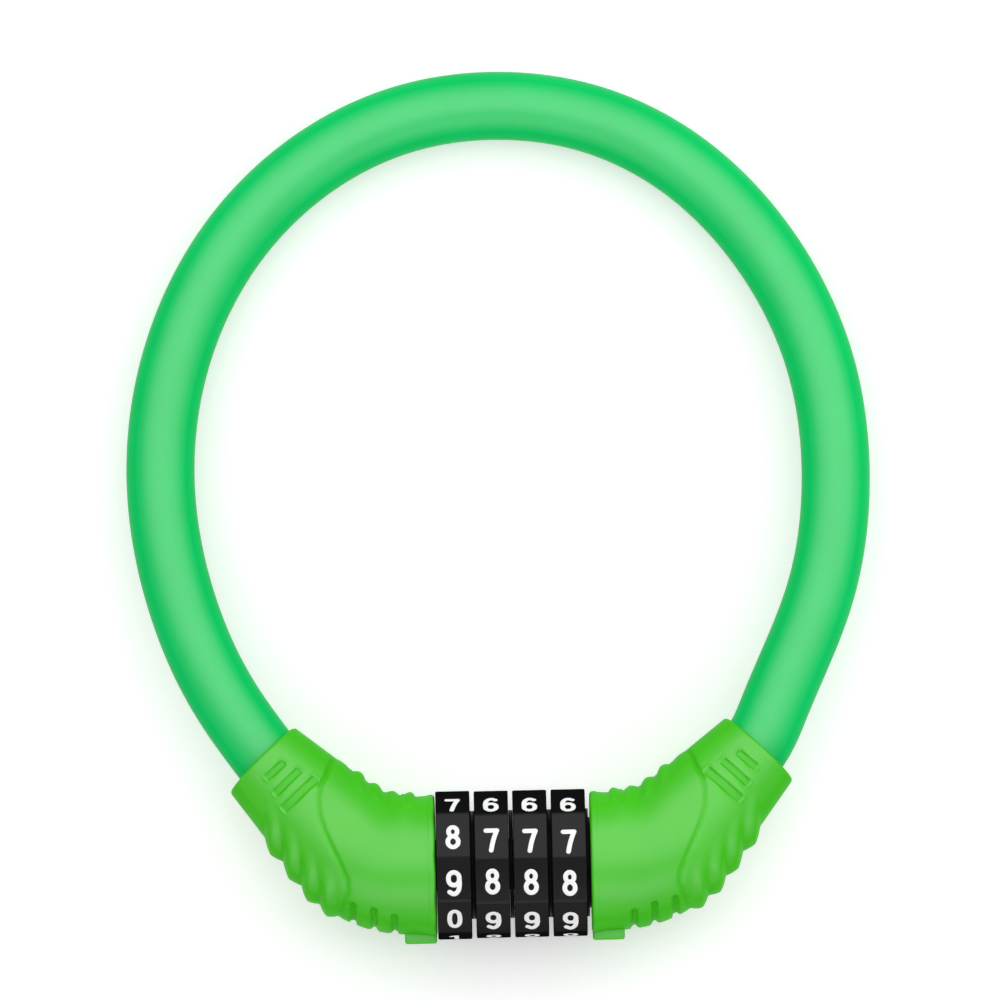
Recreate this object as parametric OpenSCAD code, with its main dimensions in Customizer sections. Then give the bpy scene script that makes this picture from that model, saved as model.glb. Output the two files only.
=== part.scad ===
// Ring cable lock with four number dials.
// A thick plastic sleeve over a steel wire rope makes a loop that closes on
// itself at a dial barrel.  Turning the dials to the code lines up the slots
// of the code rings inside them.  The right-hand end then pulls off along the
// barrel, and takes its locking pin and its end of the cable with it.
//
// Frame: +X runs along the dial axis towards the end that pulls off, +Y
// towards the far side of the loop, +Z up.  The lock lies on the plane z = 0,
// on the lowest corner of each dial and on the far side of the cable, so its
// own plane leans a little.  Every piece is drawn in that leaning plane, with
// the middle of the dial stack at its origin, and lie() sets it down.

/* [Cable] */
// Outer diameter of the plastic sleeve
sleeve_d = 15; // [14:0.5:16]
// Diameter of the steel wire rope inside the sleeve
rope_d = 6.4; // [5:0.2:7]
// Radial room between the rope and the sleeve
rope_room = 0.15; // [0.1:0.05:0.3]

/* [Dials] */
// Radius of a dial across its corners
dial_corner_r = 16.5; // [16:0.25:19]
// Width of one dial along its axis
dial_w = 7.45; // [7:0.05:9]
// Gap between two dials
dial_gap = 0.95; // [0.8:0.05:1.5]
// Depth of that gap, from a dial's corners down to the spacer washer
dial_gap_depth = 4.7; // [3.5:0.1:5.5]
// How much each corner is trimmed at a dial's two sides
dial_trim = 0.5; // [0.2:0.1:0.8]
// Turn of the first dial off its click, in degrees
first_dial_turn = 2.5; // [0:0.5:4]

/* [Barrel] */
// Radius of the locking pin
shank_r = 3; // [2.5:0.1:3.5]
// Wall of the slotted barrel around the pin
barrel_wall = 2.5; // [2:0.1:3]
// Radial running clearance of what turns or slides
running = 0.1; // [0.05:0.01:0.1]
// Radial clearance of what is fixed in a hole
fit = 0.05; // [0.02:0.01:0.1]
// Height of the pin's lugs above the barrel
lug_rise = 1.8; // [1.4:0.1:2.2]
// Width of a lug across the pin
lug_w = 2.4; // [2:0.1:3]
// Length of a lug along the pin
lug_t = 2; // [1.6:0.1:2.4]
// Room on each side of a lug in its slots
lug_room = 0.2; // [0.1:0.05:0.3]
// Thickness of the web in a code ring that stops a lug
web_t = 2.6; // [2:0.1:3]
// Room between a lug's tip and the ring that turns over it
lug_tip_room = 0.6; // [0.4:0.1:1]
// Wall of a code ring outside the room for the lug
code_ring_wall = 1.5; // [1.2:0.1:2]
// Radius of the click notches in a code ring
click_notch_r = 0.7; // [0.5:0.05:0.9]
// Width of the leaf of the click spring
click_leaf_w = 2.4; // [1.8:0.1:2.8]
// Thickness of the leaf of the click spring
click_leaf_t = 0.35; // [0.25:0.05:0.5]
// Thickness of a spacer washer between two dials
spacer_t = 0.75; // [0.6:0.05:0.78]
// Thickness of the barrel's end flange
flange_t = 0.4; // [0.3:0.05:0.6]
// Radius of the smaller step on that flange, beside the end that pulls off
flange_lip_r = 9.9; // [8:0.1:11]
// Thickness of that step
flange_lip_t = 0.3; // [0.2:0.05:0.5]
// Gap between the dial stack and what closes it at each end
stack_gap = 0.175; // [0.1:0.025:0.4]
// Split between the barrel and the end that pulls off
split_gap = 0.1; // [0.05:0.05:0.3]

/* [Anchors] */
// Distance from an anchor's face to the elbow where its socket turns off
elbow_x = 18.65; // [18:0.25:20]
// Angle of the cable socket to the dial axis, in degrees
socket_angle = 54; // [50:1:58]
// Length of the cable socket, from the elbow to its end face
socket_len = 21; // [19:0.5:22]
// Wall of the socket around the ferrule
socket_wall = 2.55; // [2:0.05:2.8]
// How much the elbow swells past its two arms, on the radius
elbow_swell = 0.2; // [0.1:0.05:0.4]
// Depth of the metal left between the elbow and the socket's bore
socket_floor = 6; // [5.5:0.25:7]
// Radius of the disc that closes the cover at the dial end
seat_r = 13; // [11:0.25:13.5]
// Thickness of that disc
seat_t = 2; // [1.5:0.25:3]
// Depth of the hole for the barrel's tail or the locking pin
hub_bore_len = 11; // [9.5:0.25:11.5]
// Radius of the cross pin that holds the barrel's tail or the locking pin
hub_pin_r = 1.25; // [1:0.05:1.4]
// Distance from the anchor's face to that cross pin
hub_pin_x = 6; // [5:0.25:7]
// Wall of the ferrule around the rope
ferrule_wall = 1.75; // [1.5:0.05:2]
// Length of the ferrule
ferrule_len = 14; // [12:0.5:14.5]
// Depth of the ferrule's neck groove
neck_depth = 1; // [0.6:0.1:1.2]
// Distance from the ferrule's solid end to the middle of that groove
neck_x = 6; // [4:0.25:9]
// Radius of the two pins that lie in the neck groove
ferrule_pin_r = 1; // [0.8:0.05:1.2]
// Length of the solid end of the ferrule
ferrule_end = 2; // [1.5:0.25:3]

/* [Covers] */
// How much smaller the covers are than the dials' corners, on the radius
cover_step = 1; // [0.5:0.1:2]
// Radius of a cover at the end of its bend
cover_bend_end_r = 13.7; // [13.2:0.1:14.5]
// Wall of a cover at its mouth, around the sleeve
mouth_wall = 2.5; // [2.2:0.1:3.5]
// Clearance between a cover and what it wraps
cover_fit = 0.15; // [0.1:0.05:0.3]
// Distance from a cover's dial end to the corner its bend rounds off
cover_corner_x = 14.2; // [13.5:0.1:15]
// Angle that a cover turns through, in degrees
cover_angle = 46; // [44:0.5:48]
// Radius of the bend of a cover's centre line
cover_bend_r = 16; // [14:0.5:18]
// Distance from that corner to the mouth
cover_mouth_len = 33.5; // [32:0.25:35]
// Distance from the dial end to the first short slot on the outer side
slot_start = 9.3; // [8.5:0.1:10]
// Distance between two of these slots, along the dial axis
slot_pitch = 4.5; // [4:0.1:4.6]
// Width of a short slot
slot_w = 1.2; // [0.8:0.1:1.6]
// Depth of a short slot
slot_depth = 0.85; // [0.4:0.05:1]
// Distance from the dial end to the first grip step on the outer side
step_start = 21.7; // [21:0.1:22.5]
// Distance between two grip steps, along the dial axis
step_pitch = 3.9; // [3.6:0.1:4.1]
// Height of a grip step
step_height = 1.3; // [0.6:0.05:1.5]
// Distance from the dial end to the first bump on the inner side
bump_start = 5.1; // [4.5:0.1:6]
// Distance between two bumps, along the dial axis
bump_pitch = 3.7; // [3.4:0.1:4]
// Height of a bump
bump_height = 0.8; // [0.3:0.1:1]
// Height of the web that fills the inner side of the bend
web_height = 1.3; // [0.8:0.1:1.5]
// Height of the index mark beside the dials
index_height = 1.7; // [1:0.1:2]
// Length of the index mark
index_len = 6.6; // [5:0.2:7.5]
// Width of the index mark
index_w = 2.6; // [2:0.1:3.5]

/* [Hidden] */
$fn = 48;

// A dial has one face for each digit.
DIGITS = 10;
DIALS = 4;

// Radii that follow from the barrel outwards.
barrel_bore_r = shank_r + running;
barrel_r = barrel_bore_r + barrel_wall;
web_bore_r = barrel_r + running;
lug_r = barrel_r + lug_rise;
lug_slot_w = lug_w + 2 * lug_room;
lug_slot_r = lug_r + lug_room;
recess_r = lug_r + lug_tip_room;
code_ring_r = recess_r + code_ring_wall;
dial_bore_r = code_ring_r + fit;
spacer_r = dial_corner_r - dial_gap_depth;
flange_r = spacer_r;

// The key that makes a dial and its code ring turn as one.
key_rise = 0.8;
key_w = 2;

// The keyway that stops the spacer washers on the barrel.
spacer_key_w = 1.6;
spacer_key_depth = 0.8;

// Places along the dial axis.
dial_pitch = dial_w + dial_gap;
stack_half = (DIALS * dial_pitch - dial_gap) / 2;
left_face = -stack_half - stack_gap;
flange_face = stack_half + stack_gap;
barrel_end = flange_face + flange_t + flange_lip_t;
right_face = barrel_end + split_gap;
recess_len = dial_w - web_t;

// The barrel's tail and the locking pin stop a little short of their holes.
end_room = 0.1;
hub_plug_len = hub_bore_len - end_room;
tip_len = 0.8;

// The cable's fittings.
rope_r = rope_d / 2;
sleeve_r = sleeve_d / 2;
ferrule_r = rope_r + ferrule_wall;
ferrule_bore_r = rope_r + fit;
socket_bore_r = ferrule_r + fit;
anchor_r = socket_bore_r + socket_wall;
elbow_r = anchor_r + elbow_swell;
neck_r = ferrule_r - neck_depth;
ferrule_start = socket_floor + end_room;
neck_at = ferrule_start + neck_x;
neck_w = 2 * (ferrule_pin_r + fit);
ferrule_pin_side = neck_r + fit + ferrule_pin_r;
ferrule_pin_half = sqrt(pow(anchor_r, 2) - pow(ferrule_pin_side + ferrule_pin_r, 2));
hub_pin_half = sqrt(pow(anchor_r, 2) - pow(hub_pin_r, 2));

// The line that a cover's middle follows: straight, round the bend, straight.
cover_r = dial_corner_r - cover_step;
mouth_r = sleeve_r + mouth_wall;
bend_tangent = cover_bend_r * tan(cover_angle / 2);
bend_start = cover_corner_x - bend_tangent;
bend_end = bend_start + cover_bend_r * cover_angle * PI / 180;
cover_len = bend_end + cover_mouth_len - bend_tangent;
cover_edge = 0.8;

// The grip: how many slots, steps and bumps there are, the length that a step
// drops over, and half the width of a bump.
GRIP_SLOTS = 3;
GRIP_STEPS = 4;
GRIP_BUMPS = 4;
step_drop = 2.1;
bump_half_w = 1.35;

// The web lies over the start of the bend, and fades out on both sides of it.
web_x = bend_start + 0.9;
web_w = 2.7;

// The short slots are cut by rings of this radius, over this reach from the
// ring's middle outwards.
slot_ring_r = (cover_r + cover_bend_end_r) / 2;
slot_reach = 11.6;

// Where the socket's line leaves the cover's mouth, from the elbow.
socket_dir = [cos(socket_angle), sin(socket_angle)];
mouth_dir = [cos(cover_angle), sin(cover_angle)];
mouth_mid = [cover_corner_x, 0] + cover_mouth_len * mouth_dir;
mouth_reach = (mouth_mid - [elbow_x, 0]) * mouth_dir / cos(socket_angle - cover_angle);
sleeve_start = socket_len + end_room;

// The sleeve runs on straight past the mouth before it starts to bend.
straight_past_mouth = 1.5;

// The free run of the cable, from the left mouth round to the right one.
free_route = [
    [-61.5, 37.1], [-71.5, 61.3], [-75, 87.4], [-71, 113.1], [-59, 137.2], [-39.5, 155.9],
    [-20, 164.9], [1, 167.4], [21.5, 163.9],
    [40.5, 153.8], [59, 133.7], [70, 109.6], [73, 83.9], [69, 58.3], [58.5, 33.6]
];
loop_reach = max([for (p = free_route) p[1]]);
cable_sides = 12;

// The lean that lays both the dials' corners and the cable's far side on z = 0.
tilt = atan((dial_corner_r - sleeve_r) / loop_reach);
axis_height = dial_corner_r * cos(tilt);

// The row's origin is under the middle of the box of the dials and covers.
body_back = mouth_mid[1] + mouth_r * cos(cover_angle);
body_front = -cover_r - index_height;
axis_y = -(body_back + body_front) / 2;

left_socket_at = [left_face - elbow_x, 0];
right_socket_at = [right_face + elbow_x, 0];

// Finishes.
COVER_GREEN = "#5fcf45";
SLEEVE_GREEN = "#2fc873";
DIAL_BLACK = "#232125";
BARREL_BLACK = "#2b2a2e";
ZINC = "#9fa3a8";
STEEL = "#c9ccd0";
SPRING_STEEL = "#8a8d92";

// ---------------------------------------------------------------- placing

// Sets the leaning plane of the lock down on z = 0.
module lie() {
    translate([0, axis_y, axis_height]) rotate([-tilt, 0, 0]) children();
}

// Puts a piece drawn outwards from x = 0 at the left end of the dial stack.
// Such a piece is the same above and below the lock's plane, so half a turn
// round the y axis makes the left one the mirror image of the right one.
module at_left() {
    lie() translate([left_face, 0, 0]) rotate([0, 180, 0]) children();
}

// Puts a piece drawn outwards from x = 0 at the right end of the dial stack.
module at_right() {
    lie() translate([right_face, 0, 0]) children();
}

// Turns a piece drawn up the z axis so that it runs along +X.
module along_x() {
    rotate([0, 90, 0]) children();
}

// Turns a piece drawn up the z axis so that it runs out along the socket.
module along_socket() {
    translate([elbow_x, 0, 0]) rotate([0, 0, socket_angle]) along_x() children();
}

// A ball round the elbow of an anchor, turned so that its seam and its poles
// lie inside the elbow's two arms.
module elbow_ball(r) {
    translate([elbow_x, 0, 0]) along_x() rotate([0, 0, 90]) sphere(r = r);
}

// The middle of dial number k, along the axis.
function dial_x(k) = (k - (DIALS + 1) / 2) * dial_pitch;

// The middle of the lug that works in dial number k.
function lug_x(k) = dial_x(k) - dial_w / 2 + recess_len / 2;

// ---------------------------------------------------------------- covers

// The direction of a cover's centre line at distance s, in degrees.
function cover_turn(s) =
    s < bend_start ? 0 : s > bend_end ? cover_angle : (s - bend_start) / cover_bend_r * 180 / PI;

// The point on a cover's centre line at distance s.
function cover_point(s) =
    s < bend_start ? [s, 0]
    : s < bend_end
        ? [bend_start, cover_bend_r] + cover_bend_r * [sin(cover_turn(s)), -cos(cover_turn(s))]
    : mouth_mid - (cover_len - s) * mouth_dir;

// The radius of a cover at distance s, before its grip is cut.
function cover_radius(s) =
    s < bend_end ? cover_r + (cover_bend_end_r - cover_r) * s / bend_end
    : cover_bend_end_r + (mouth_r - cover_bend_end_r) * (s - bend_end) / (cover_len - bend_end);

// How much the edges at the two ends of a cover are drawn in.
function edge_cut(s) = s < cover_edge ? cover_edge - s : max(0, s - cover_len + cover_edge);

function limited(v) = max(0, min(1, v));

// How far into its repeat a place is, from 0 to the pitch.
function into(x, start, pitch) = (x - start) - floor((x - start) / pitch) * pitch;

// True where a place is in one of a number of repeats.
function among(x, start, pitch, count) = x > start && x < start + count * pitch;

// A grip step: it rises away from the dials and drops back.
function step_wave(x) =
    let (part = into(x, step_start, step_pitch), rise = step_pitch - step_drop)
    !among(x, step_start, step_pitch, GRIP_STEPS) ? 0
    : part < rise ? part / rise : (step_pitch - part) / step_drop;

// A bump: 1 at its middle and 0 past its half width.
function bump_wave(x) =
    let (first = bump_start - bump_pitch / 2, off = into(x, first, bump_pitch) - bump_pitch / 2)
    !among(x, first, bump_pitch, GRIP_BUMPS) || abs(off) > bump_half_w ? 0
    : cos(90 * off / bump_half_w);

// The shares of the steps, the bumps and the web at a surface point.  Its side
// is 1 on the inner side of the bend and -1 on the outer side.
function step_share(side) = limited((-side - 0.55) / 0.4);
function bump_share(side) = limited((side - 0.72) / 0.2);
function web_share(side) = limited((side - 0.2) / 0.7);

// How far the inner side stands up, midway between the directions of the bend.
function inner_lift(x, side) =
    web_height * exp(-pow((x - web_x) / web_w, 2)) * web_share(side)
    + bump_height * bump_wave(x) * bump_share(side);

// The point on a cover's skin at distance s and angle a round it, where 0
// faces the inside of the loop and 90 is up.
function cover_skin(s, a) =
    let (
        turn = cover_turn(s),
        base = cover_radius(s) - edge_cut(s) / 2,
        x = cover_point(s)[0] - base * cos(a) * sin(turn),
        r = base + step_height * step_wave(x) * step_share(cos(a)),
        lift = inner_lift(x, cos(a))
    )
    [
        cover_point(s)[0] - r * cos(a) * sin(turn) - lift * sin(cover_angle / 2),
        cover_point(s)[1] + r * cos(a) * cos(turn) + lift * cos(cover_angle / 2),
        r * sin(a)
    ];

// The distances at which a cover's rings lie, closer round the bend.
cover_rings = concat(
    [0, cover_edge],
    [for (i = [1:5]) cover_edge + (bend_start - cover_edge) * i / 5],
    [for (i = [1:17]) bend_start + (bend_end - bend_start) * i / 17],
    [for (i = [1:26]) bend_end + (cover_len - cover_edge - bend_end) * i / 26],
    [cover_len]
);
cover_sides = 32;

// One ring of a cover's skin, at distance s.
function cover_ring(s) = [for (j = [0:cover_sides - 1]) cover_skin(s, 360 * j / cover_sides)];

// A closed skin through rings of points that all have as many sides.
module skin(rings) {
    n = len(rings[0]);
    last = len(rings) - 1;
    polyhedron(
        points = [for (ring = rings) for (p = ring) p],
        faces = concat(
            [[for (j = [0:n - 1]) j]],
            [[for (j = [0:n - 1]) last * n + n - 1 - j]],
            [for (i = [0:last - 1]) for (j = [0:n - 1])
                [i * n + j, (i + 1) * n + (j + 1) % n, i * n + (j + 1) % n]],
            [for (i = [0:last - 1]) for (j = [0:n - 1])
                [i * n + j, (i + 1) * n + j, (i + 1) * n + (j + 1) % n]]
        )
    );
}

// The room inside a cover for an anchor and the end of the sleeve.
module cover_room() {
    translate([-1, 0, 0]) along_x() cylinder(r = seat_r + cover_fit, h = 1 + seat_t + cover_fit);
    along_x() cylinder(r = anchor_r + cover_fit, h = elbow_x);
    elbow_ball(elbow_r + cover_fit);
    along_socket() cylinder(r = anchor_r + cover_fit, h = sleeve_start);
    along_socket() cylinder(r = sleeve_r + cover_fit, h = mouth_reach + mouth_r);
}

// How low the outer side of a cover is at a place x over its bend.
function outer_y(x) =
    cover_bend_r - sqrt(pow(cover_bend_r + slot_ring_r, 2) - pow(x - bend_start, 2));

// The short slots of the grip on the outer side, beside the dials.
module grip_slots() {
    for (i = [0:GRIP_SLOTS - 1]) {
        x = slot_start + i * slot_pitch;
        translate([x - slot_w / 2, outer_y(x) + slot_ring_r, 0]) along_x() intersection() {
            difference() {
                cylinder(r = slot_ring_r + 2, h = slot_w);
                translate([0, 0, -1]) cylinder(r = slot_ring_r - slot_depth, h = slot_w + 2);
            }
            translate([-slot_ring_r, -2 * slot_ring_r, 0])
                cube([2 * slot_ring_r, 2 * slot_ring_r - slot_reach, slot_w]);
        }
    }
}

// One soft end cover, drawn outwards from its dial end.
module cover() {
    color(COVER_GREEN) difference() {
        union() {
            skin([for (s = cover_rings) cover_ring(s)]);
            translate([cover_edge, -cover_r - index_height, -index_w / 2])
                cube([index_len - cover_edge, index_height + 2, index_w]);
        }
        cover_room();
        grip_slots();
    }
}

// ---------------------------------------------------------------- anchors

// A cast elbow that holds a cable end at an angle to the dial axis.
module anchor(plug_r) {
    color(ZINC) difference() {
        union() {
            along_x() cylinder(r = seat_r, h = seat_t);
            along_x() cylinder(r = anchor_r, h = elbow_x);
            elbow_ball(elbow_r);
            along_socket() cylinder(r = anchor_r, h = socket_len);
        }
        translate([-1, 0, 0]) along_x() cylinder(r = plug_r + fit, h = 1 + hub_bore_len);
        along_socket() translate([0, 0, socket_floor])
            cylinder(r = socket_bore_r, h = socket_len);
        translate([hub_pin_x, 0, -anchor_r - 1])
            cylinder(r = hub_pin_r + fit, h = 2 * anchor_r + 2);
        both_ferrule_pins(ferrule_pin_r + fit, anchor_r + 1);
    }
}

// The pair of pins, or their holes, on the two sides of the ferrule's neck.
module both_ferrule_pins(r, half) {
    for (side = [-1, 1])
        translate([elbow_x, 0, 0]) rotate([0, 0, socket_angle])
            translate([neck_at, side * ferrule_pin_side, -half]) cylinder(r = r, h = 2 * half);
}

// The steel ferrule that is pressed on to an end of the wire rope.
module ferrule() {
    color(STEEL) along_socket() translate([0, 0, ferrule_start]) difference() {
        cylinder(r = ferrule_r, h = ferrule_len);
        translate([0, 0, ferrule_end]) cylinder(r = ferrule_bore_r, h = ferrule_len);
        translate([0, 0, neck_at - ferrule_start - neck_w / 2]) difference() {
            cylinder(r = ferrule_r + 1, h = neck_w);
            cylinder(r = neck_r, h = neck_w);
        }
    }
}

module ferrule_pins() {
    color(SPRING_STEEL) both_ferrule_pins(ferrule_pin_r, ferrule_pin_half);
}

// The cross pin through an anchor's hub.
module hub_pin() {
    color(SPRING_STEEL) translate([hub_pin_x, 0, -hub_pin_half])
        cylinder(r = hub_pin_r, h = 2 * hub_pin_half);
}

// ---------------------------------------------------------------- cable

function socket_point(at, side, d) = [at[0] + side * d * socket_dir[0], at[1] + d * socket_dir[1]];

// The cable's line, with its two ends at distance d from the elbows.
function cable_route(d) = concat(
    [socket_point(left_socket_at, -1, d)],
    [socket_point(left_socket_at, -1, mouth_reach + straight_past_mouth)],
    free_route,
    [socket_point(right_socket_at, 1, mouth_reach + straight_past_mouth)],
    [socket_point(right_socket_at, 1, d)]
);

// The direction of a route at point i, from its neighbours.
function route_dir(route, i) =
    let (
        a = route[max(0, i - 1)],
        b = route[min(len(route) - 1, i + 1)]
    )
    (b - a) / norm(b - a);

// One ring of a tube of radius r round point i of a route.
function route_ring(route, i, r) =
    let (d = route_dir(route, i))
    [for (j = [0:cable_sides - 1])
        let (a = 360 * j / cable_sides)
        [route[i][0] + r * cos(a) * d[1], route[i][1] - r * cos(a) * d[0], r * sin(a)]];

// A rod along a route.
module rod(route, r) {
    skin([for (i = [0:len(route) - 1]) route_ring(route, i, r)]);
}

// A tube along a route, open at both ends.
module tube(route, r, bore) {
    n = cable_sides;
    last = len(route) - 1;
    outer = [for (i = [0:last]) route_ring(route, i, r)];
    inner = [for (i = [0:last]) route_ring(route, last - i, bore)];
    rings = concat(outer, inner);
    count = len(rings);
    polyhedron(
        points = [for (ring = rings) for (p = ring) p],
        faces = concat(
            [for (i = [0:count - 1]) for (j = [0:n - 1])
                [i * n + j, ((i + 1) % count) * n + (j + 1) % n, i * n + (j + 1) % n]],
            [for (i = [0:count - 1]) for (j = [0:n - 1])
                [i * n + j, ((i + 1) % count) * n + j, ((i + 1) % count) * n + (j + 1) % n]]
        )
    );
}

module cable_sleeve() {
    color(SLEEVE_GREEN) lie() tube(cable_route(sleeve_start), sleeve_r, rope_r + rope_room);
}

module wire_rope() {
    color(STEEL) lie() rod(cable_route(ferrule_start + ferrule_end + end_room), rope_r);
}

// ---------------------------------------------------------------- barrel

// A slot for the lugs, on the side that the index marks are on.
module lug_slot(from, to) {
    translate([from, -lug_slot_r, -lug_slot_w / 2]) cube([to - from, lug_slot_r, lug_slot_w]);
}

// The place of the click spring: its leaf lies in a groove in the barrel, and
// its humps stop just short of the crests between the click notches.
click_hump_top = sqrt(pow(web_bore_r - fit, 2) - pow(click_leaf_w / 2, 2));
click_leaf_top = click_hump_top - 0.5;
click_groove_floor = click_leaf_top - click_leaf_t - fit;
click_hump_r = 1.2;
click_half_len = stack_half - 0.3;

// The slotted barrel that the dials turn on, with its end flange.
module barrel() {
    tail = left_face - hub_plug_len;
    color(BARREL_BLACK) lie() difference() {
        union() {
            translate([tail, 0, 0]) along_x() cylinder(r = barrel_r, h = barrel_end - tail);
            translate([flange_face, 0, 0]) along_x() cylinder(r = flange_r, h = flange_t);
            translate([flange_face, 0, 0]) along_x()
                cylinder(r = flange_lip_r, h = flange_t + flange_lip_t);
        }
        translate([tail - 1, 0, 0]) along_x() cylinder(r = barrel_bore_r, h = barrel_end - tail + 2);
        lug_slot(left_face, barrel_end + 1);
        translate([-stack_half, click_groove_floor, -click_leaf_w / 2 - fit])
            cube([2 * stack_half, barrel_r, click_leaf_w + 2 * fit]);
        translate([-stack_half, -spacer_key_w / 2, barrel_r - spacer_key_depth])
            cube([2 * stack_half, spacer_key_w, barrel_r]);
        translate([left_face - hub_pin_x, 0, -barrel_r - 1])
            cylinder(r = hub_pin_r + fit, h = 2 * barrel_r + 2);
    }
}

// A spacer washer between dial number k and the next one.
module spacer(k) {
    x = (dial_x(k) + dial_x(k + 1)) / 2;
    color(BARREL_BLACK) lie() {
        difference() {
            translate([x - spacer_t / 2, 0, 0]) along_x() cylinder(r = spacer_r, h = spacer_t);
            translate([x - spacer_t, 0, 0]) along_x() cylinder(r = barrel_r + fit, h = 2 * spacer_t);
            lug_slot(x - spacer_t, x + spacer_t);
        }
        translate([x - spacer_t / 2, fit - spacer_key_w / 2, barrel_r - spacer_key_depth + fit])
            cube([spacer_t, spacer_key_w - 2 * fit, spacer_key_depth + 0.5]);
    }
}

// The leaf spring whose humps click into the code rings.
module click_spring() {
    color(SPRING_STEEL) lie() translate([0, 0, -click_leaf_w / 2])
        linear_extrude(height = click_leaf_w) {
            translate([-click_half_len, click_leaf_top - click_leaf_t])
                square([2 * click_half_len, click_leaf_t]);
            for (k = [1:DIALS])
                intersection() {
                    translate([dial_x(k) + (dial_w - web_t) / 2, click_hump_top - click_hump_r])
                        circle(r = click_hump_r);
                    translate([-stack_half, click_leaf_top - click_leaf_t])
                        square([2 * stack_half, click_hump_r]);
                }
        }
}

// ---------------------------------------------------------------- dials

// A key on a radius, pointing up, between two places along the axis.
module key(from, to, r, w) {
    translate([from, -w / 2, 0]) cube([to - from, w, r]);
}

// A number dial with a flat for each digit, hollow for its code ring.  The
// first one sits a little off its click, within the play of its key.
module dial(k) {
    side = dial_w / 2;
    color(DIAL_BLACK) lie() translate([dial_x(k), 0, 0])
        difference() {
            rotate([k == 1 ? -first_dial_turn : 0, 0, 0]) intersection() {
                translate([-side, 0, 0]) along_x()
                    cylinder(r = dial_corner_r, h = dial_w, $fn = DIGITS);
                along_x() rotate_extrude() polygon([
                    [0, -side], [dial_corner_r - dial_trim, -side],
                    [dial_corner_r, dial_trim - side], [dial_corner_r, side - dial_trim],
                    [dial_corner_r - dial_trim, side], [0, side]
                ]);
            }
            translate([-dial_w, 0, 0]) along_x() cylinder(r = dial_bore_r, h = 2 * dial_w);
            key(-dial_w, dial_w, code_ring_r + key_rise + fit, key_w + 2 * fit);
        }
}

// The code ring inside a dial.  Its web stops the lug everywhere but at its
// slot, and has a notch for each digit's click.
module code_ring(k) {
    side = dial_w / 2;
    color(ZINC) lie() translate([dial_x(k), 0, 0]) difference() {
        union() {
            translate([-side, 0, 0]) along_x() cylinder(r = code_ring_r, h = dial_w);
            key(-side, side, code_ring_r + key_rise, key_w);
        }
        translate([-side - 1, 0, 0]) along_x() cylinder(r = recess_r, h = 1 + recess_len);
        translate([-side, 0, 0]) along_x() cylinder(r = web_bore_r, h = 2 * dial_w);
        lug_slot(-dial_w, dial_w);
        for (i = [0:DIGITS - 1])
            rotate([i * 360 / DIGITS, 0, 0]) translate([-side, web_bore_r, 0]) along_x()
                cylinder(r = click_notch_r, h = 2 * dial_w, $fn = 24);
    }
}

// ---------------------------------------------------------------- locking pin

// The pin that pulls out of the barrel, with a lug for each dial.
module locking_pin() {
    tip = lug_x(1) - lug_t / 2 - tip_len;
    color(STEEL) lie() difference() {
        union() {
            translate([tip, 0, 0]) along_x() rotate_extrude() polygon([
                [0, 0], [shank_r - tip_len, 0], [shank_r, tip_len],
                [shank_r, right_face + hub_plug_len - tip], [0, right_face + hub_plug_len - tip]
            ]);
            for (k = [1:DIALS])
                translate([lug_x(k) - lug_t / 2, -lug_r, -lug_w / 2]) cube([lug_t, lug_r, lug_w]);
        }
        translate([right_face + hub_pin_x, 0, -shank_r - 1])
            cylinder(r = hub_pin_r + fit, h = 2 * shank_r + 2);
    }
}

// ---------------------------------------------------------------- nodes

at_left() cover();  // left_cover
at_right() cover();  // right_cover
cable_sleeve();
wire_rope();
at_left() anchor(barrel_r);  // left_anchor
at_right() anchor(shank_r);  // right_anchor
at_left() ferrule();  // left_ferrule
at_right() ferrule();  // right_ferrule
at_left() ferrule_pins();  // left_ferrule_pins
at_right() ferrule_pins();  // right_ferrule_pins
barrel();
at_left() hub_pin();  // barrel_cross_pin
locking_pin();
at_right() hub_pin();  // shank_cross_pin
click_spring();
dial(1);  // dial_1
dial(2);  // dial_2
dial(3);  // dial_3
dial(4);  // dial_4
code_ring(1);  // code_ring_1
code_ring(2);  // code_ring_2
code_ring(3);  // code_ring_3
code_ring(4);  // code_ring_4
spacer(1);  // spacer_1
spacer(2);  // spacer_2
spacer(3);  // spacer_3
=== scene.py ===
"""Dresses a ring cable lock: soft end covers, a thick sleeved cable and four black number dials."""

import logging
import math
from dataclasses import dataclass, field
from enum import Enum
from typing import Iterator, Sequence

import bpy
import numpy as np
from mathutils import Matrix, Vector


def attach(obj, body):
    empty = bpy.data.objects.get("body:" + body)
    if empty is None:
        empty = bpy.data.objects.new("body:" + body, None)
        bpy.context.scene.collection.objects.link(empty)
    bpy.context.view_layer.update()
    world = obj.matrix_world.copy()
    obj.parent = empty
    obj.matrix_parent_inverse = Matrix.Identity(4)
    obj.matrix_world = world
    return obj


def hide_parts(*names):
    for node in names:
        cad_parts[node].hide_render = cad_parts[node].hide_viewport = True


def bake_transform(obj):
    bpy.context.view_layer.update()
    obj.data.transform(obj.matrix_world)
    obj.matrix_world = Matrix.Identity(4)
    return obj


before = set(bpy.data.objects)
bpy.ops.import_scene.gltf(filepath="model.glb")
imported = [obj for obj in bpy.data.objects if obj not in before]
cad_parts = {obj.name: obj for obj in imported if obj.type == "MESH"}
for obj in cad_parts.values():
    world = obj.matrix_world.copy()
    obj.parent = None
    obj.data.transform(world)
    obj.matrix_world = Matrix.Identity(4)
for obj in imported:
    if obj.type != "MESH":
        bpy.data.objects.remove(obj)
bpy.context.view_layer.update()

log = logging.getLogger("ring_cable_lock")

MM = 0.001
# How near a point lies to a rim or a face that it belongs to, in millimetres.
NEAR = 0.02
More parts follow.
